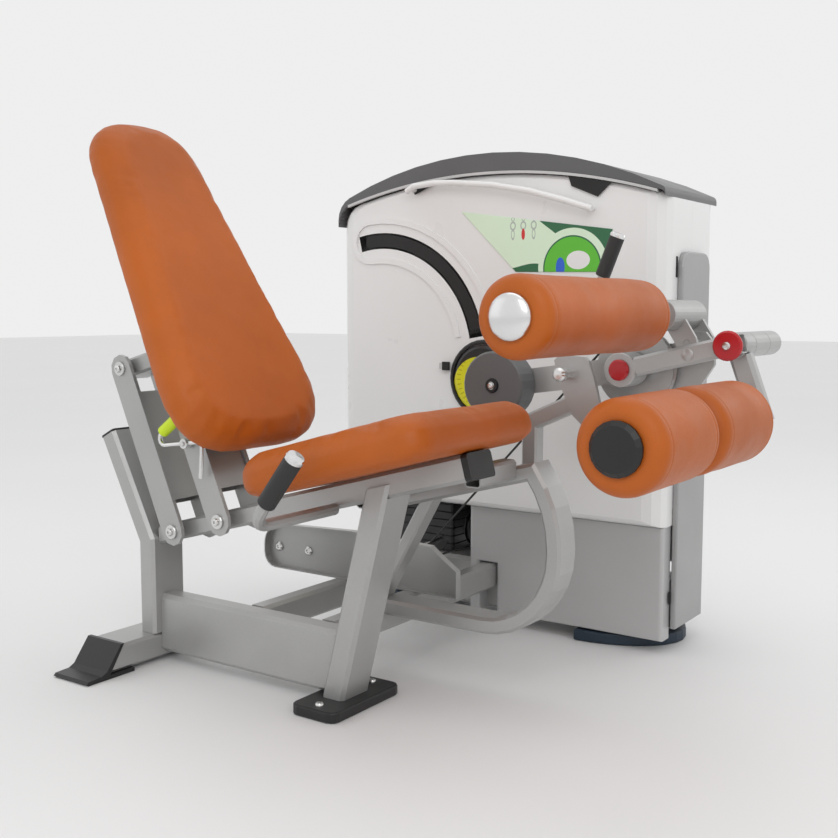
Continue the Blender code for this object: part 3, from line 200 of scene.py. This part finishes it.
def zoned(name, base, zones=(), grain=0.10, flake=1300.0):
    """A finish whose colour, roughness and metal change in stated zones.

    base and each zone's look are (colour, roughness, metallic); a zone is (mask, look).
    """
    s = Shader(name)
    colour = tinted(s, base[0], 0.10, 7.0)
    fleck = s.noise(flake, 2.0)
    lift = tuple(min(1.0, c * 1.5 + 0.02) for c in base[0])
    colour = s.mix(s.ramp(fleck, 0.35, 0.65, 0.0, 0.25), colour, lift)
    roughness, metallic = base[1], base[2]
    for mask, look in zones:
        value = mask(s)
        colour = s.mix(value, colour, tinted(s, look[0], 0.08, 30.0))
        roughness = s.blend(value, roughness, look[1])
        metallic = s.blend(value, metallic, look[2])
    smudge = s.ramp(s.noise(9.0, 2.0), 0.3, 0.7, -0.03, 0.05)
    roughness = s.math("ADD", roughness, smudge)
    normal = s.bump(fleck, grain, 0.0003)
    normal = s.bump(s.noise(38.0, 1.0), 0.03, 0.0010, normal)
    return s.finish(colour, roughness, metallic, normal)


PAINT = ((0.40, 0.40, 0.395), 0.34, 0.50)
CHROME = ((0.78, 0.78, 0.78), 0.12, 1.0)
BRIGHT = ((0.70, 0.70, 0.69), 0.25, 1.0)
BLACK = ((0.008, 0.008, 0.008), 0.38, 0.0)
RUBBER = ((0.020, 0.020, 0.020), 0.50, 0.0)
GREY_DISC = ((0.115, 0.118, 0.12), 0.42, 0.1)


def dress(made, *names):
    for name in names:
        slots = NODES[name].data.materials
        slots.clear()
        slots.append(made)


def vinyl(name, colour):
    """Upholstery vinyl: pebbled grain with painted shade in its grooves, soft sheen and slight
    wear.
    """
    s = Shader(name)
    wide = s.noise(3.5, 5.0, 0.55)
    base = s.mix(s.ramp(wide, 0.3, 0.7, 0.0, 1.0), tuple(c * 0.86 for c in colour),
                 tuple(min(1.0, c * 1.12) for c in colour))
    pebble = s.cells(420.0)
    fine = s.noise(900.0, 2.0)
    # painted shade: the pebble grain's grooves are darkened toward 0.55 of the colour
    base = s.mix(s.ramp(pebble, 0.0, 0.12, 0.22, 0.0), base, tuple(c * 0.55 for c in colour))
    roughness = s.ramp(s.noise(18.0, 4.0), 0.25, 0.75, 0.36, 0.50)
    normal = s.bump(s.ramp(pebble, 0.0, 0.25, 0.0, 1.0), 0.22, 0.0006)
    normal = s.bump(fine, 0.06, 0.0003, normal)
    normal = s.bump(s.noise(26.0, 3.0), 0.10, 0.0022, normal)
    made = s.finish(base, roughness, 0.0, normal)
    s.bsdf.inputs["Sheen Weight"].default_value = 0.0
    s.bsdf.inputs["Specular IOR Level"].default_value = 0.30
    return made


# ---------------------------------------------------------------- CAD finishes
def reach(name, direction):
    """Highest value of a node's vertices along a direction."""
    return max(v.co.dot(direction) for v in NODES[name].data.vertices)


def grip_zones(name, rise, length, cap):
    top = reach(name, rise)
    return [(lambda s: s.above(s.along(rise), top - length), RUBBER),
            (lambda s: s.above(s.along(rise), top - cap), CHROME)]


def dress_frame():
    dress(zoned("paint_silver", PAINT), "rear_foot_beam", "rear_post", "base_beam",
          "front_leg", "seat_rail", "front_loop", "loop_brace", "rear_cross_tube",
          "front_cross_tube", "link_beam", "knee_brace", "knee_plate", "back_carrier")
    for name in ("handle_near", "handle_far"):
        dress(zoned("finish_" + name, PAINT, grip_zones(name, GRIP_RISE, 0.1343, 0.0126)), name)
    zones = grip_zones("start_grip", START_RISE, 0.110, 0.0108)
    dress(zoned("finish_start_grip", PAINT, zones), "start_grip")
    pin_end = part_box("rear_link")[0][1] + 0.0048
    zones = [(lambda s: s.below(s.axis["y"], pin_end), BRIGHT)]
    for name in ("rear_link", "front_link"):
        dress(zoned("finish_" + name, PAINT, zones), name)
    plate_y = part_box("stop_plate")[1][1] - 0.0125
    dress(zoned("finish_stop_plate", PAINT,
                [(lambda s: s.below(s.axis["y"], plate_y), CHROME)]), "stop_plate")
    shell_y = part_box("pulley_tray")[0][1] + 0.0195
    zones = [(lambda s: s.both(s.below(s.axis["y"], shell_y),
                               s.below(s.distance("x", "z", BOLTS_MID, (0.075, 0.020)), 1.0)),
              BRIGHT)]
    dress(zoned("finish_tray", PAINT, zones), "pulley_tray")
    cap_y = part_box("ankle_arm")[0][1] + 0.0141
    zones = [(lambda s: s.below(s.axis["y"], 0.06), CHROME),
             (lambda s: s.below(s.axis["y"], cap_y), BLACK)]
    dress(zoned("finish_ankle", PAINT, zones), "ankle_arm")
    roll_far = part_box("thigh_roller")[1][1] + 0.050
    dress(zoned("finish_thigh", PAINT,
                [(lambda s: s.below(s.axis["y"], roll_far), CHROME)]), "thigh_arm")
    dress(zoned("finish_lever", PAINT), "lever_arm", "cable_drum")
    dress(zoned("knob_steel", BRIGHT, grain=0.05), "pull_pin")
    low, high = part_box("counterweight")
    middle = ((low[0] + high[0]) / 2, (low[2] + high[2]) / 2)
    zones = [(lambda s: s.below(s.distance("x", "z", middle), 0.0185), BLACK),
             (lambda s: s.below(s.distance("x", "z", middle), 0.0095), CHROME)]
    dress(zoned("finish_counterweight", GREY_DISC, zones), "counterweight")
    low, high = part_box("stack_lifted")
    rod = (low[0] + high[0]) / 2
    zones = [(lambda s: s.both(s.below(s.math("ABSOLUTE", s.math(
        "SUBTRACT", s.axis["x"], rod)), 0.0095), s.above(s.axis["z"], 0.172)), CHROME)]
    dress(zoned("finish_tower_frame", PAINT, zones), "tower_base")


def dress_plastics():
    dress(zoned("black_moulded", BLACK, grain=0.25, flake=900.0), "rear_foot_near",
          "rear_foot_far", "post_cap", "front_foot", "rail_cap", "dial_ring", "backrest_board",
          "pulley_low_near", "pulley_low_far", "pulley_top")
    dress(zoned("navy_rubber", ((0.010, 0.024, 0.042), 0.48, 0.0), grain=0.2),
          "tower_foot_front", "tower_foot_rear")
    dress(zoned("cap_charcoal", ((0.105, 0.105, 0.107), 0.36, 0.1), grain=0.14), "tower_cap")
    dress(zoned("column_satin", ((0.34, 0.34, 0.34), 0.38, 0.25)), "front_column")
    dress(zoned("red_gloss", ((0.42, 0.008, 0.014), 0.22, 0.0), grain=0.03), "axle_cap",
          "shaft_cap")
    dress(zoned("grip_lime", ((0.60, 0.82, 0.01), 0.35, 0.0), grain=0.05), "release_grip")
    dress(zoned("iron_black", ((0.05, 0.05, 0.052), 0.45, 0.7), grain=0.3, flake=500.0),
          "stack_resting", "stack_lifted")
    dress(zoned("rod_steel", BRIGHT), "release_lever")
    s = Shader("cable_braid")
    twist = s.math("SINE", s.math("MULTIPLY", s.along((900.0, 700.0, 1100.0)), 1.0))
    dress(s.finish((0.02, 0.02, 0.02), 0.45, 0.0, s.bump(twist, 0.3, 0.0005)), "lift_cable",
          "stack_cable")
    s = Shader("shroud_white")
    white = tinted(s, (0.80, 0.80, 0.795), 0.03, 3.0)
    white = s.mix(s.ramp(s.noise(14.0, 6.0, 0.7), 0.62, 0.75, 0.0, 0.10), white,
                  (0.55, 0.55, 0.54))
    normal = s.bump(s.noise(1100.0, 2.0), 0.07, 0.0003)
    normal = s.bump(s.noise(9.0, 2.0), 0.05, 0.004, normal)
    dress(s.finish(white, s.ramp(s.noise(6.0, 4.0), 0.3, 0.7, 0.26, 0.36), 0.0, normal, 0.15),
          "shroud_near", "shroud_far", "grab_bar")
    s = Shader("shroud_low_grey")
    grey = tinted(s, (0.50, 0.50, 0.50), 0.06, 4.0)
    dress(s.finish(grey, 0.34, 0.15, s.bump(s.noise(1100.0, 2.0), 0.08, 0.0003)),
          "shroud_low")


def dress_dial():
    low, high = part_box("dial_disc")
    middle = ((low[0] + high[0]) / 2, (low[2] + high[2]) / 2)
    s = Shader("dial_yellow")
    away = s.distance("x", "z", middle)
    turn = s.math("ARCTAN2", s.math("SUBTRACT", s.axis["z"], middle[1]),
                  s.math("SUBTRACT", s.axis["x"], middle[0]))
    ticks = s.above(s.math("SINE", s.math("MULTIPLY", turn, 36.0)), 0.72)
    band = s.both(s.above(away, 0.072), s.below(away, 0.084))
    marks = s.math("MULTIPLY", s.both(ticks, band), 0.35)
    colour = s.mix(marks, tinted(s, (0.70, 0.66, 0.02), 0.08, 12.0), (0.02, 0.02, 0.02))
    aside = s.distance("x", "z", (middle[0] - 0.014, middle[1] - 0.020))
    colour = s.mix(s.above(aside, 0.0815), colour, (0.022, 0.022, 0.022))
    colour = s.mix(s.below(away, 0.026), colour, (0.03, 0.03, 0.03))
    dress(s.finish(colour, 0.32, 0.0, s.bump(s.noise(800.0, 2.0), 0.05, 0.0003), 0.2),
          "dial_disc")


def dress_panel():
    """Generic instruction panel: pale field, dark border sweep, bright round badge."""
    low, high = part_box("info_panel")
    s = Shader("panel_print")
    x, z = s.axis["x"], s.axis["z"]
    badge = (low[0] + 0.344, low[2] + 0.012)
    away = s.distance("x", "z", badge)
    wave = s.math("MULTIPLY", s.math("SINE", s.math("MULTIPLY", x, 38.0)), 0.006)
    lean = s.math("ADD", s.math("ADD", x, s.math("MULTIPLY", z, 1.1)), wave)
    sweep = s.both(s.above(lean, low[0] + 0.212 + 1.1 * high[2]), s.above(away, 0.104))
    foot = s.both(s.below(s.math("SUBTRACT", z, low[2]), s.math("ADD", 0.020, wave)),
                  s.both(s.below(x, badge[0]), s.above(away, 0.100)))
    pale = tinted(s, (0.70, 0.86, 0.66), 0.05, 6.0)
    colour = s.mix(s.either(sweep, foot), pale, (0.012, 0.13, 0.045))
    colour = s.mix(s.below(away, 0.0850), colour, (0.012, 0.13, 0.045))
    colour = s.mix(s.below(away, 0.081), colour, (0.10, 0.50, 0.02))
    blob = s.distance("x", "z", (badge[0] - 0.034, badge[1] + 0.002), (0.013, 0.026))
    colour = s.mix(s.below(blob, 1.0), colour, (0.01, 0.11, 0.62))
    blob = s.distance("x", "z", (badge[0] + 0.018, badge[1] + 0.020), (0.034, 0.024))
    colour = s.mix(s.below(blob, 1.0), colour, (0.80, 0.80, 0.80))
    figure = low[0] + 0.165
    grey, red = (0.42, 0.48, 0.43), (0.62, 0.02, 0.02)
    for step, lower in ((0.0, grey), (0.032, red), (0.064, grey)):
        head = s.distance("x", "z", (figure + step, low[2] + 0.146), (0.0055, 0.0060))
        body = s.distance("x", "z", (figure + step, low[2] + 0.128), (0.0090, 0.0120))
        legs = s.distance("x", "z", (figure + step, low[2] + 0.105), (0.0055, 0.0150))
        for shape, tint in ((head, grey), (body, grey), (legs, lower)):
            line = s.both(s.below(shape, 1.0), s.above(shape, 0.62 if tint is grey else -1.0))
            colour = s.mix(line, colour, tint)
    dress(s.finish(colour, 0.30, 0.0, s.bump(s.noise(600.0, 2.0), 0.04, 0.0003), 0.3),
          "info_panel")


# ---------------------------------------------------------------- new pieces
def add_mesh(name, data, made, body, smooth=math.radians(40)):
    bmesh.ops.recalc_face_normals(data, faces=data.faces)
    mesh = bpy.data.meshes.new(name)
    data.to_mesh(mesh)
    data.free()
    mesh.shade_smooth()
    mesh.set_sharp_from_angle(angle=smooth)
    mesh.materials.append(made)
    piece = bpy.data.objects.new(name, mesh)
    bpy.context.scene.collection.objects.link(piece)
    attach(piece, body)
    return piece


def lathe(name, profile, centre, axis, made, body, steps=32, wobble=None):
    """Turn (radius, distance) pairs about an axis; ends on the axis are closed."""
    axis = Vector(axis).normalized()
    side = axis.orthogonal().normalized()
    other = axis.cross(side)
    centre = Vector(centre)
    data = bmesh.new()
    rings = []
    for radius, distance in profile:
        base = centre + axis * distance
        if radius < 1e-6:
            rings.append([data.verts.new(base)])
            continue
        ring = []
        for k in range(steps):
            angle = 2 * math.pi * k / steps
            spoke = side * math.cos(angle) + other * math.sin(angle)
            size = radius
            if wobble is not None:
                size += wobble(base + spoke * radius, distance, angle)
            ring.append(data.verts.new(base + spoke * size))
        rings.append(ring)
    for first, second in zip(rings, rings[1:]):
        if len(first) == 1:
            first, second = second, first
        for k in range(steps):
            after = (k + 1) % steps
            if len(second) == 1:
                data.faces.new((first[k], first[after], second[0]))
            else:
                data.faces.new((first[k], first[after], second[after], second[k]))
    return add_mesh(name, data, made, body)


def slab(name, outline, y, made, body):
    """A flat outline of (x, z) pairs between two Y values."""
    data = bmesh.new()
    near = [data.verts.new((x, y[0], z)) for x, z in outline]
    far = [data.verts.new((x, y[1], z)) for x, z in outline]
    count = len(outline)
    for k in range(count):
        after = (k + 1) % count
        data.faces.new((near[k], near[after], far[after], far[k]))
    data.faces.new(near)
    data.faces.new(far)
    return add_mesh(name, data, made, body, math.radians(25))


def socket_bolt(name, centre, axis, radius, made, body):
    """Button-head bolt with a hexagonal recess."""
    axis = Vector(axis).normalized()
    side = axis.orthogonal().normalized()
    other = axis.cross(side)
    centre = Vector(centre)
    data = bmesh.new()
    rows = ((1.0, 0.0, 24), (0.97, 0.30, 24), (0.80, 0.52, 24), (0.52, 0.60, 24),
            (0.40, 0.60, 6), (0.38, 0.18, 6))
    rings = []
    for size, rise, steps in rows:
        ring = []
        for k in range(24):
            angle = 2 * math.pi * k / 24
            reach_out = size * radius
            if steps == 6:
                local = (angle % (math.pi / 3)) - math.pi / 6
                reach_out *= math.cos(math.pi / 6) / math.cos(local)
            ring.append(data.verts.new(centre + axis * (rise * radius) + reach_out * (
                side * math.cos(angle) + other * math.sin(angle))))
        rings.append(ring)
    for first, second in zip(rings, rings[1:]):
        for k in range(24):
            after = (k + 1) % 24
            data.faces.new((first[k], first[after], second[after], second[k]))
    data.faces.new(rings[-1])
    data.faces.new(rings[0])
    return add_mesh(name, data, made, body, math.radians(35))


# ---------------------------------------------------------------- upholstery
def apply_modifiers(piece):
    graph = bpy.context.evaluated_depsgraph_get()
    mesh = bpy.data.meshes.new_from_object(piece.evaluated_get(graph))
    piece.modifiers.clear()
    old = piece.data
    piece.data = mesh
    bpy.data.meshes.remove(old)


def cushion(name, node, body, made, normal, shrink, cap, voxel=0.006, pressure=4.0, hold=0.0):
    """A stuffed pad grown from the CAD pad's place by a short cloth simulation."""
    mesh = NODES[node].data.copy()
    mesh.materials.clear()
    mesh.materials.append(made)
    piece = bpy.data.objects.new(name, mesh)
    bpy.context.scene.collection.objects.link(piece)
    low, high = (Vector(corner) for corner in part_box(node))
    middle = (low + high) / 2
    for vertex in mesh.vertices:
        offset = vertex.co - middle
        depth = offset.dot(normal)
        flat = offset - normal * depth
        vertex.co = middle + flat * (1 - shrink / max(0.2, flat.length)) + normal * depth * 0.97
    remesh = piece.modifiers.new("remesh", "REMESH")
    remesh.mode = "VOXEL"
    remesh.voxel_size = voxel
    bpy.context.view_layer.update()
    apply_modifiers(piece)
    start = [v.co.copy() for v in piece.data.vertices]
    cloth = piece.modifiers.new("cloth", "CLOTH")
    cloth.settings.quality = 5
    cloth.settings.mass = 0.3
    cloth.settings.tension_stiffness = 25
    cloth.settings.compression_stiffness = 25
    cloth.settings.bending_stiffness = 4.0
    cloth.settings.use_pressure = True
    cloth.settings.uniform_pressure_force = pressure
    cloth.settings.effector_weights.gravity = 0.0
    scene = bpy.context.scene
    for number in range(1, 21):
        scene.frame_set(number)
    apply_modifiers(piece)
    scene.frame_set(1)
    for vertex, before in zip(piece.data.vertices, start):
        move = vertex.co - before
        if move.length > cap:
            vertex.co = before + move * (cap / move.length)
        under = (before - middle).dot(normal) < hold
        if under:
            flat_move = vertex.co - before
            vertex.co -= normal * min(0.0, flat_move.dot(normal))
    smooth = piece.modifiers.new("soften", "SMOOTH")
    smooth.factor = 0.5
    smooth.iterations = 6
    finer = piece.modifiers.new("finer", "SUBSURF")
    finer.levels = 1
    finer.render_levels = 1
    bpy.context.view_layer.update()
    apply_modifiers(piece)
    for vertex in piece.data.vertices:
        ripple = noise.noise(vertex.co * 9.0) * 0.0012 + noise.noise(vertex.co * 31.0) * 0.0003
        vertex.co += normal * ripple
    piece.data.shade_smooth()
    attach(piece, body)
    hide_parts(node)
    return piece


def foam(name, node, body, made, swell=0.0):
    """Foam roller in a sewn vinyl sleeve, with end seams and slight unevenness."""
    low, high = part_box(node)
    centre = ((low[0] + high[0]) / 2, low[1], (low[2] + high[2]) / 2)
    radius = (high[2] - low[2]) / 2
    length = high[1] - low[1]
    bore = 0.016
    soft = 0.028
    profile = [(bore, 0.010), (bore + 0.012, 0.0045), (radius - soft - 0.014, 0.0015)]
    for k in range(9):
        angle = math.pi / 2 * k / 8
        profile.append((radius - soft * (1 - math.sin(angle)), soft * (1 - math.cos(angle))))
    seam = [(radius, soft + 0.0030), (radius - 0.0006, soft + 0.0045), (radius, soft + 0.006)]
    body_rows = []
    count = 40
    for k in range(1, count):
        t = k / count
        start = soft + 0.008
        body_rows.append((radius, start + (length - 2 * start) * t))
    full = profile + seam + body_rows
    full += [(r, length - d) for r, d in reversed(profile + seam)]

    def wobble(place, distance, angle):
        near_seam = min(abs(distance - soft - 0.0045), abs(length - distance - soft - 0.0045))
        pucker = 0.0003 * math.sin(angle * 46) * math.exp(-near_seam / 0.006)
        wave = noise.noise(place * 14.0) * 0.0011 + noise.noise(place * 4.0) * 0.0014
        return pucker + wave + swell - 0.0020

    piece = lathe(name, full, centre, (0, 1, 0), made, body, 120, wobble)
    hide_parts(node)
    return piece


def pads():
    orange = vinyl("vinyl_orange", (0.46, 0.105, 0.010))
    up = Vector((-math.sin(SEAT_TILT), 0.0, math.cos(SEAT_TILT)))
    cushion("seat_cushion", "seat_pad", "frame", orange, up, -0.004, 0.008)
    cushion("back_cushion", "backrest_pad", "carrier", orange, BACK_FACE, -0.004, 0.009, 0.007)
    for node in ("thigh_roller", "ankle_roller_near", "ankle_roller_far"):
        foam(node + "_sleeve", node, node, orange, 0.0 if node == "thigh_roller" else 0.0028)


# ---------------------------------------------------------------- small fittings
def fittings():
    bright = zoned("bolt_steel", BRIGHT, grain=0.05)
    # dark serves as painted shade (sheets in the column-gap slots, at the grab-bar recess ends and
    # behind the curved slot) and as the real black of the clip beside the dial
    dark = zoned("shade_and_clip_black", ((0.004, 0.004, 0.004), 0.5, 0.0), grain=0.2)
    rim = zoned("rim_light", ((0.52, 0.52, 0.52), 0.34, 0.2))
    # Socket bolts on the pivots of the two backrest links.
    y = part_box("rear_link")[0][1] - GAP
    for node in ("rear_link", "front_link"):
        low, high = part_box(node)
        bottom = Vector((high[0] - LINK_PIVOT, y, low[2] + LINK_PIVOT))
        top = Vector((high[0] - LINK_PIVOT - LINK_LEAN, y, high[2] - LINK_PIVOT))
        for index, place in enumerate((bottom, top)):
            socket_bolt("%s_bolt_%d" % (node, index + 1), place, NEAR, 0.010, bright, node)
    for node, radius in (("shaft_cap", 0.0095), ("counterweight", 0.0085)):
        low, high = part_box(node)
        middle = ((low[0] + high[0]) / 2, low[1] - GAP, (low[2] + high[2]) / 2)
        socket_bolt(node + "_bolt", middle, NEAR, radius, bright, "lever")
    # Round plug let into the lever's near side.
    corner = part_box("axle_cap")[0]
    hub = Vector((corner[0] + 0.0245, 0, corner[2] + 0.0245))
    low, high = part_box("shaft_cap")
    end = Vector(((low[0] + high[0]) / 2, 0, (low[2] + high[2]) / 2))
    place = hub.lerp(end, 0.64)
    place.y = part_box("lever_arm")[0][1] + 0.0020
    lathe("lever_plug", [(0, 0), (0.0135, 0), (0.0135, 0.0012), (0.0125, 0.0020), (0, 0.0022)],
          place, NEAR, zoned("plug_grey", PAINT), "lever", 28)
    # Dark sheets for the slots in the gap beside the front column: painted shade standing for the
    # shade inside the slots.
    low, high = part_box("front_column")
    for index, (z0, z1) in enumerate(((0.983, 1.036), (0.129, 0.162))):
        x = low[0] - GAP
        slab("column_gap_shade_%d" % (index + 1), [(x, z0), (x + 0.0015, z0), (x + 0.0015, z1),
                                              (x, z1)], (low[1] - 0.012, low[1] - 0.002),
             dark, "frame")
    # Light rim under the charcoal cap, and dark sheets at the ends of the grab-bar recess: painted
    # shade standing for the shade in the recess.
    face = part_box("shroud_near")[0][1]
    middle = SHIFT_X - 0.09
    low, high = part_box("tower_cap")
    crown = high[2] - 0.050
    left, right = low[0], high[0]

    def under(x, drop=0.0):
        """Height of a point below the cap's lower edge."""
        return crown - drop - ARCH + math.sqrt(ARCH ** 2 - (x - middle) ** 2)

    outline = []
    for drop, order in ((0.0006, 1), (0.0078, -1)):
        row = []
        for k in range(41):
            x = left + 0.040 + (right - left - 0.060) * k / 40
            row.append((x, under(x, drop)))
        outline += row[::order]
    slab("cap_rim", outline, (face - 0.0055, face + 0.0040), rim, "frame")
    # painted shade: the dark wedges at the grab bar's ends stand for the shade in its recess
    y = (face - 0.0014, face - GAP)
    start, end = (corner[0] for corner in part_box("grab_bar"))
    slab("recess_shade_left", [(start + 0.016, under(start + 0.016, 0.034)),
                         (start + 0.060, under(start + 0.060, 0.022)),
                         (start + 0.094, under(start + 0.094, 0.009)),
                         (start + 0.004, under(start + 0.004, 0.009))],
         y, dark, "frame")
    slab("recess_shade_right", [(end - 0.083, under(end - 0.083, 0.009)),
                          (end - 0.074, under(end - 0.074, 0.034)),
                          (end + 0.002, under(end + 0.002, 0.052)),
                          (end + 0.040, under(end + 0.040, 0.009))],
         y, dark, "frame")
    # Dark sheet behind the curved slot: painted shade standing for the shaded inside of the tower
    # seen through the slot.
    centre = (-0.444 + SHIFT_X, 0.765)
    band = []
    for radius, order in ((0.360, 1), (0.314, -1)):
        row = []
        for k in range(25):
            angle = math.radians(10 + 93 * k / 24)
            row.append((centre[0] + radius * math.cos(angle), centre[1] + radius * math.sin(angle)))
        band += row[::order]
    slab("slot_shade_sheet", band, (face + 0.0050, face + 0.0065), dark, "frame")
    # Clip beside the dial.
    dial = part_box("dial_ring")
    x, z = dial[0][0] - 0.012, (dial[0][2] + dial[1][2]) / 2 + 0.033
    slab("dial_clip", [(x - 0.010, z - 0.012), (x + 0.012, z - 0.012), (x + 0.012, z + 0.012),
                       (x - 0.010, z + 0.012)], (face - 0.008, face - GAP), dark, "frame")
    # Smooth domed cover on the thigh axle's near end.
    low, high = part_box("thigh_roller")
    place = ((low[0] + high[0]) / 2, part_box("thigh_arm")[0][1] + 0.0180,
             (low[2] + high[2]) / 2)
    dome = [(0.0100, -GAP), (0.0424, -GAP)]
    for k in range(13):
        angle = math.pi / 2 * k / 12
        dome.append((0.0426 * math.cos(angle), 0.0030 + 0.0160 * math.sin(angle)))
    dome[-1] = (0, 0.0190)
    satin = zoned("satin_chrome", ((0.72, 0.72, 0.72), 0.22, 1.0), grain=0.02)
    lathe("thigh_cover", dome, place, NEAR, satin, "thigh", 64)
    slab("dial_clip_tip", [(x - 0.020, z - 0.008), (x - 0.0104, z - 0.010),
                           (x - 0.0104, z + 0.010), (x - 0.020, z + 0.008)],
         (face - 0.007, face - GAP), rim, "frame")
    # Floor bolts on the front foot plate.
    low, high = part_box("front_foot")
    for index, y in enumerate((low[1] + 0.030, high[1] - 0.030)):
        socket_bolt("foot_bolt_%d" % (index + 1), ((low[0] + high[0]) / 2, y, high[2] - GAP),
                    (0, 0, 1), 0.010, bright, "frame")


# ---------------------------------------------------------------- studio
def studio():
    camera_data = bpy.data.cameras.new("camera")
    camera_data.sensor_width = 36.0
    camera_data.lens = 47.2
    camera = bpy.data.objects.new("camera", camera_data)
    camera.location = (1.4912, -2.2828, 0.900)
    camera.rotation_euler = (math.radians(84.33), 0.0, math.radians(34.9))
    bpy.context.scene.collection.objects.link(camera)
    bpy.context.scene.camera = camera
    data = bmesh.new()
    bmesh.ops.create_grid(data, x_segments=1, y_segments=1, size=30.0)
    mesh = bpy.data.meshes.new("floor")
    data.to_mesh(mesh)
    data.free()
    s = Shader("floor_pale")
    tone = s.mix(s.noise(0.8, 2.0), (0.80, 0.80, 0.80), (0.83, 0.83, 0.83))
    mesh.materials.append(s.finish(tone, 0.6, 0.0, s.bump(s.noise(300.0, 2.0), 0.02, 0.0005)))
    floor = bpy.data.objects.new("floor", mesh)
    floor.location = (0, 0, -0.0005)
    bpy.context.scene.collection.objects.link(floor)
    for name, place, size, power, aim in (
            ("key", (2.6, -3.4, 3.4), 2.6, 44.0, (0.0, 0.0, 0.6)),
            ("fill", (-3.2, -2.6, 2.2), 3.0, 6.0, (0.0, 0.0, 0.6)),
            ("top", (0.0, 0.3, 4.2), 3.0, 16.0, (0.0, 0.0, 0.0)),
            ("rim", (2.2, 3.4, 2.6), 2.0, 10.0, (0.0, 0.2, 0.8))):
        light = bpy.data.lights.new(name, "AREA")
        light.size = size
        light.energy = power
        lamp = bpy.data.objects.new(name, light)
        lamp.location = place
        aim_at = Vector(aim) - Vector(place)
        lamp.rotation_euler = aim_at.to_track_quat("-Z", "Y").to_euler()
        bpy.context.scene.collection.objects.link(lamp)
    world = bpy.data.worlds.new("studio")
    world.use_nodes = True
    world.node_tree.nodes["Background"].inputs["Color"].default_value = (1, 1, 1, 1)
    world.node_tree.nodes["Background"].inputs["Strength"].default_value = 0.86
    bpy.context.scene.world = world
    bpy.context.scene.view_settings.view_transform = "Standard"


dress_frame()
dress_plastics()
dress_dial()
dress_panel()
pads()
fittings()
studio()
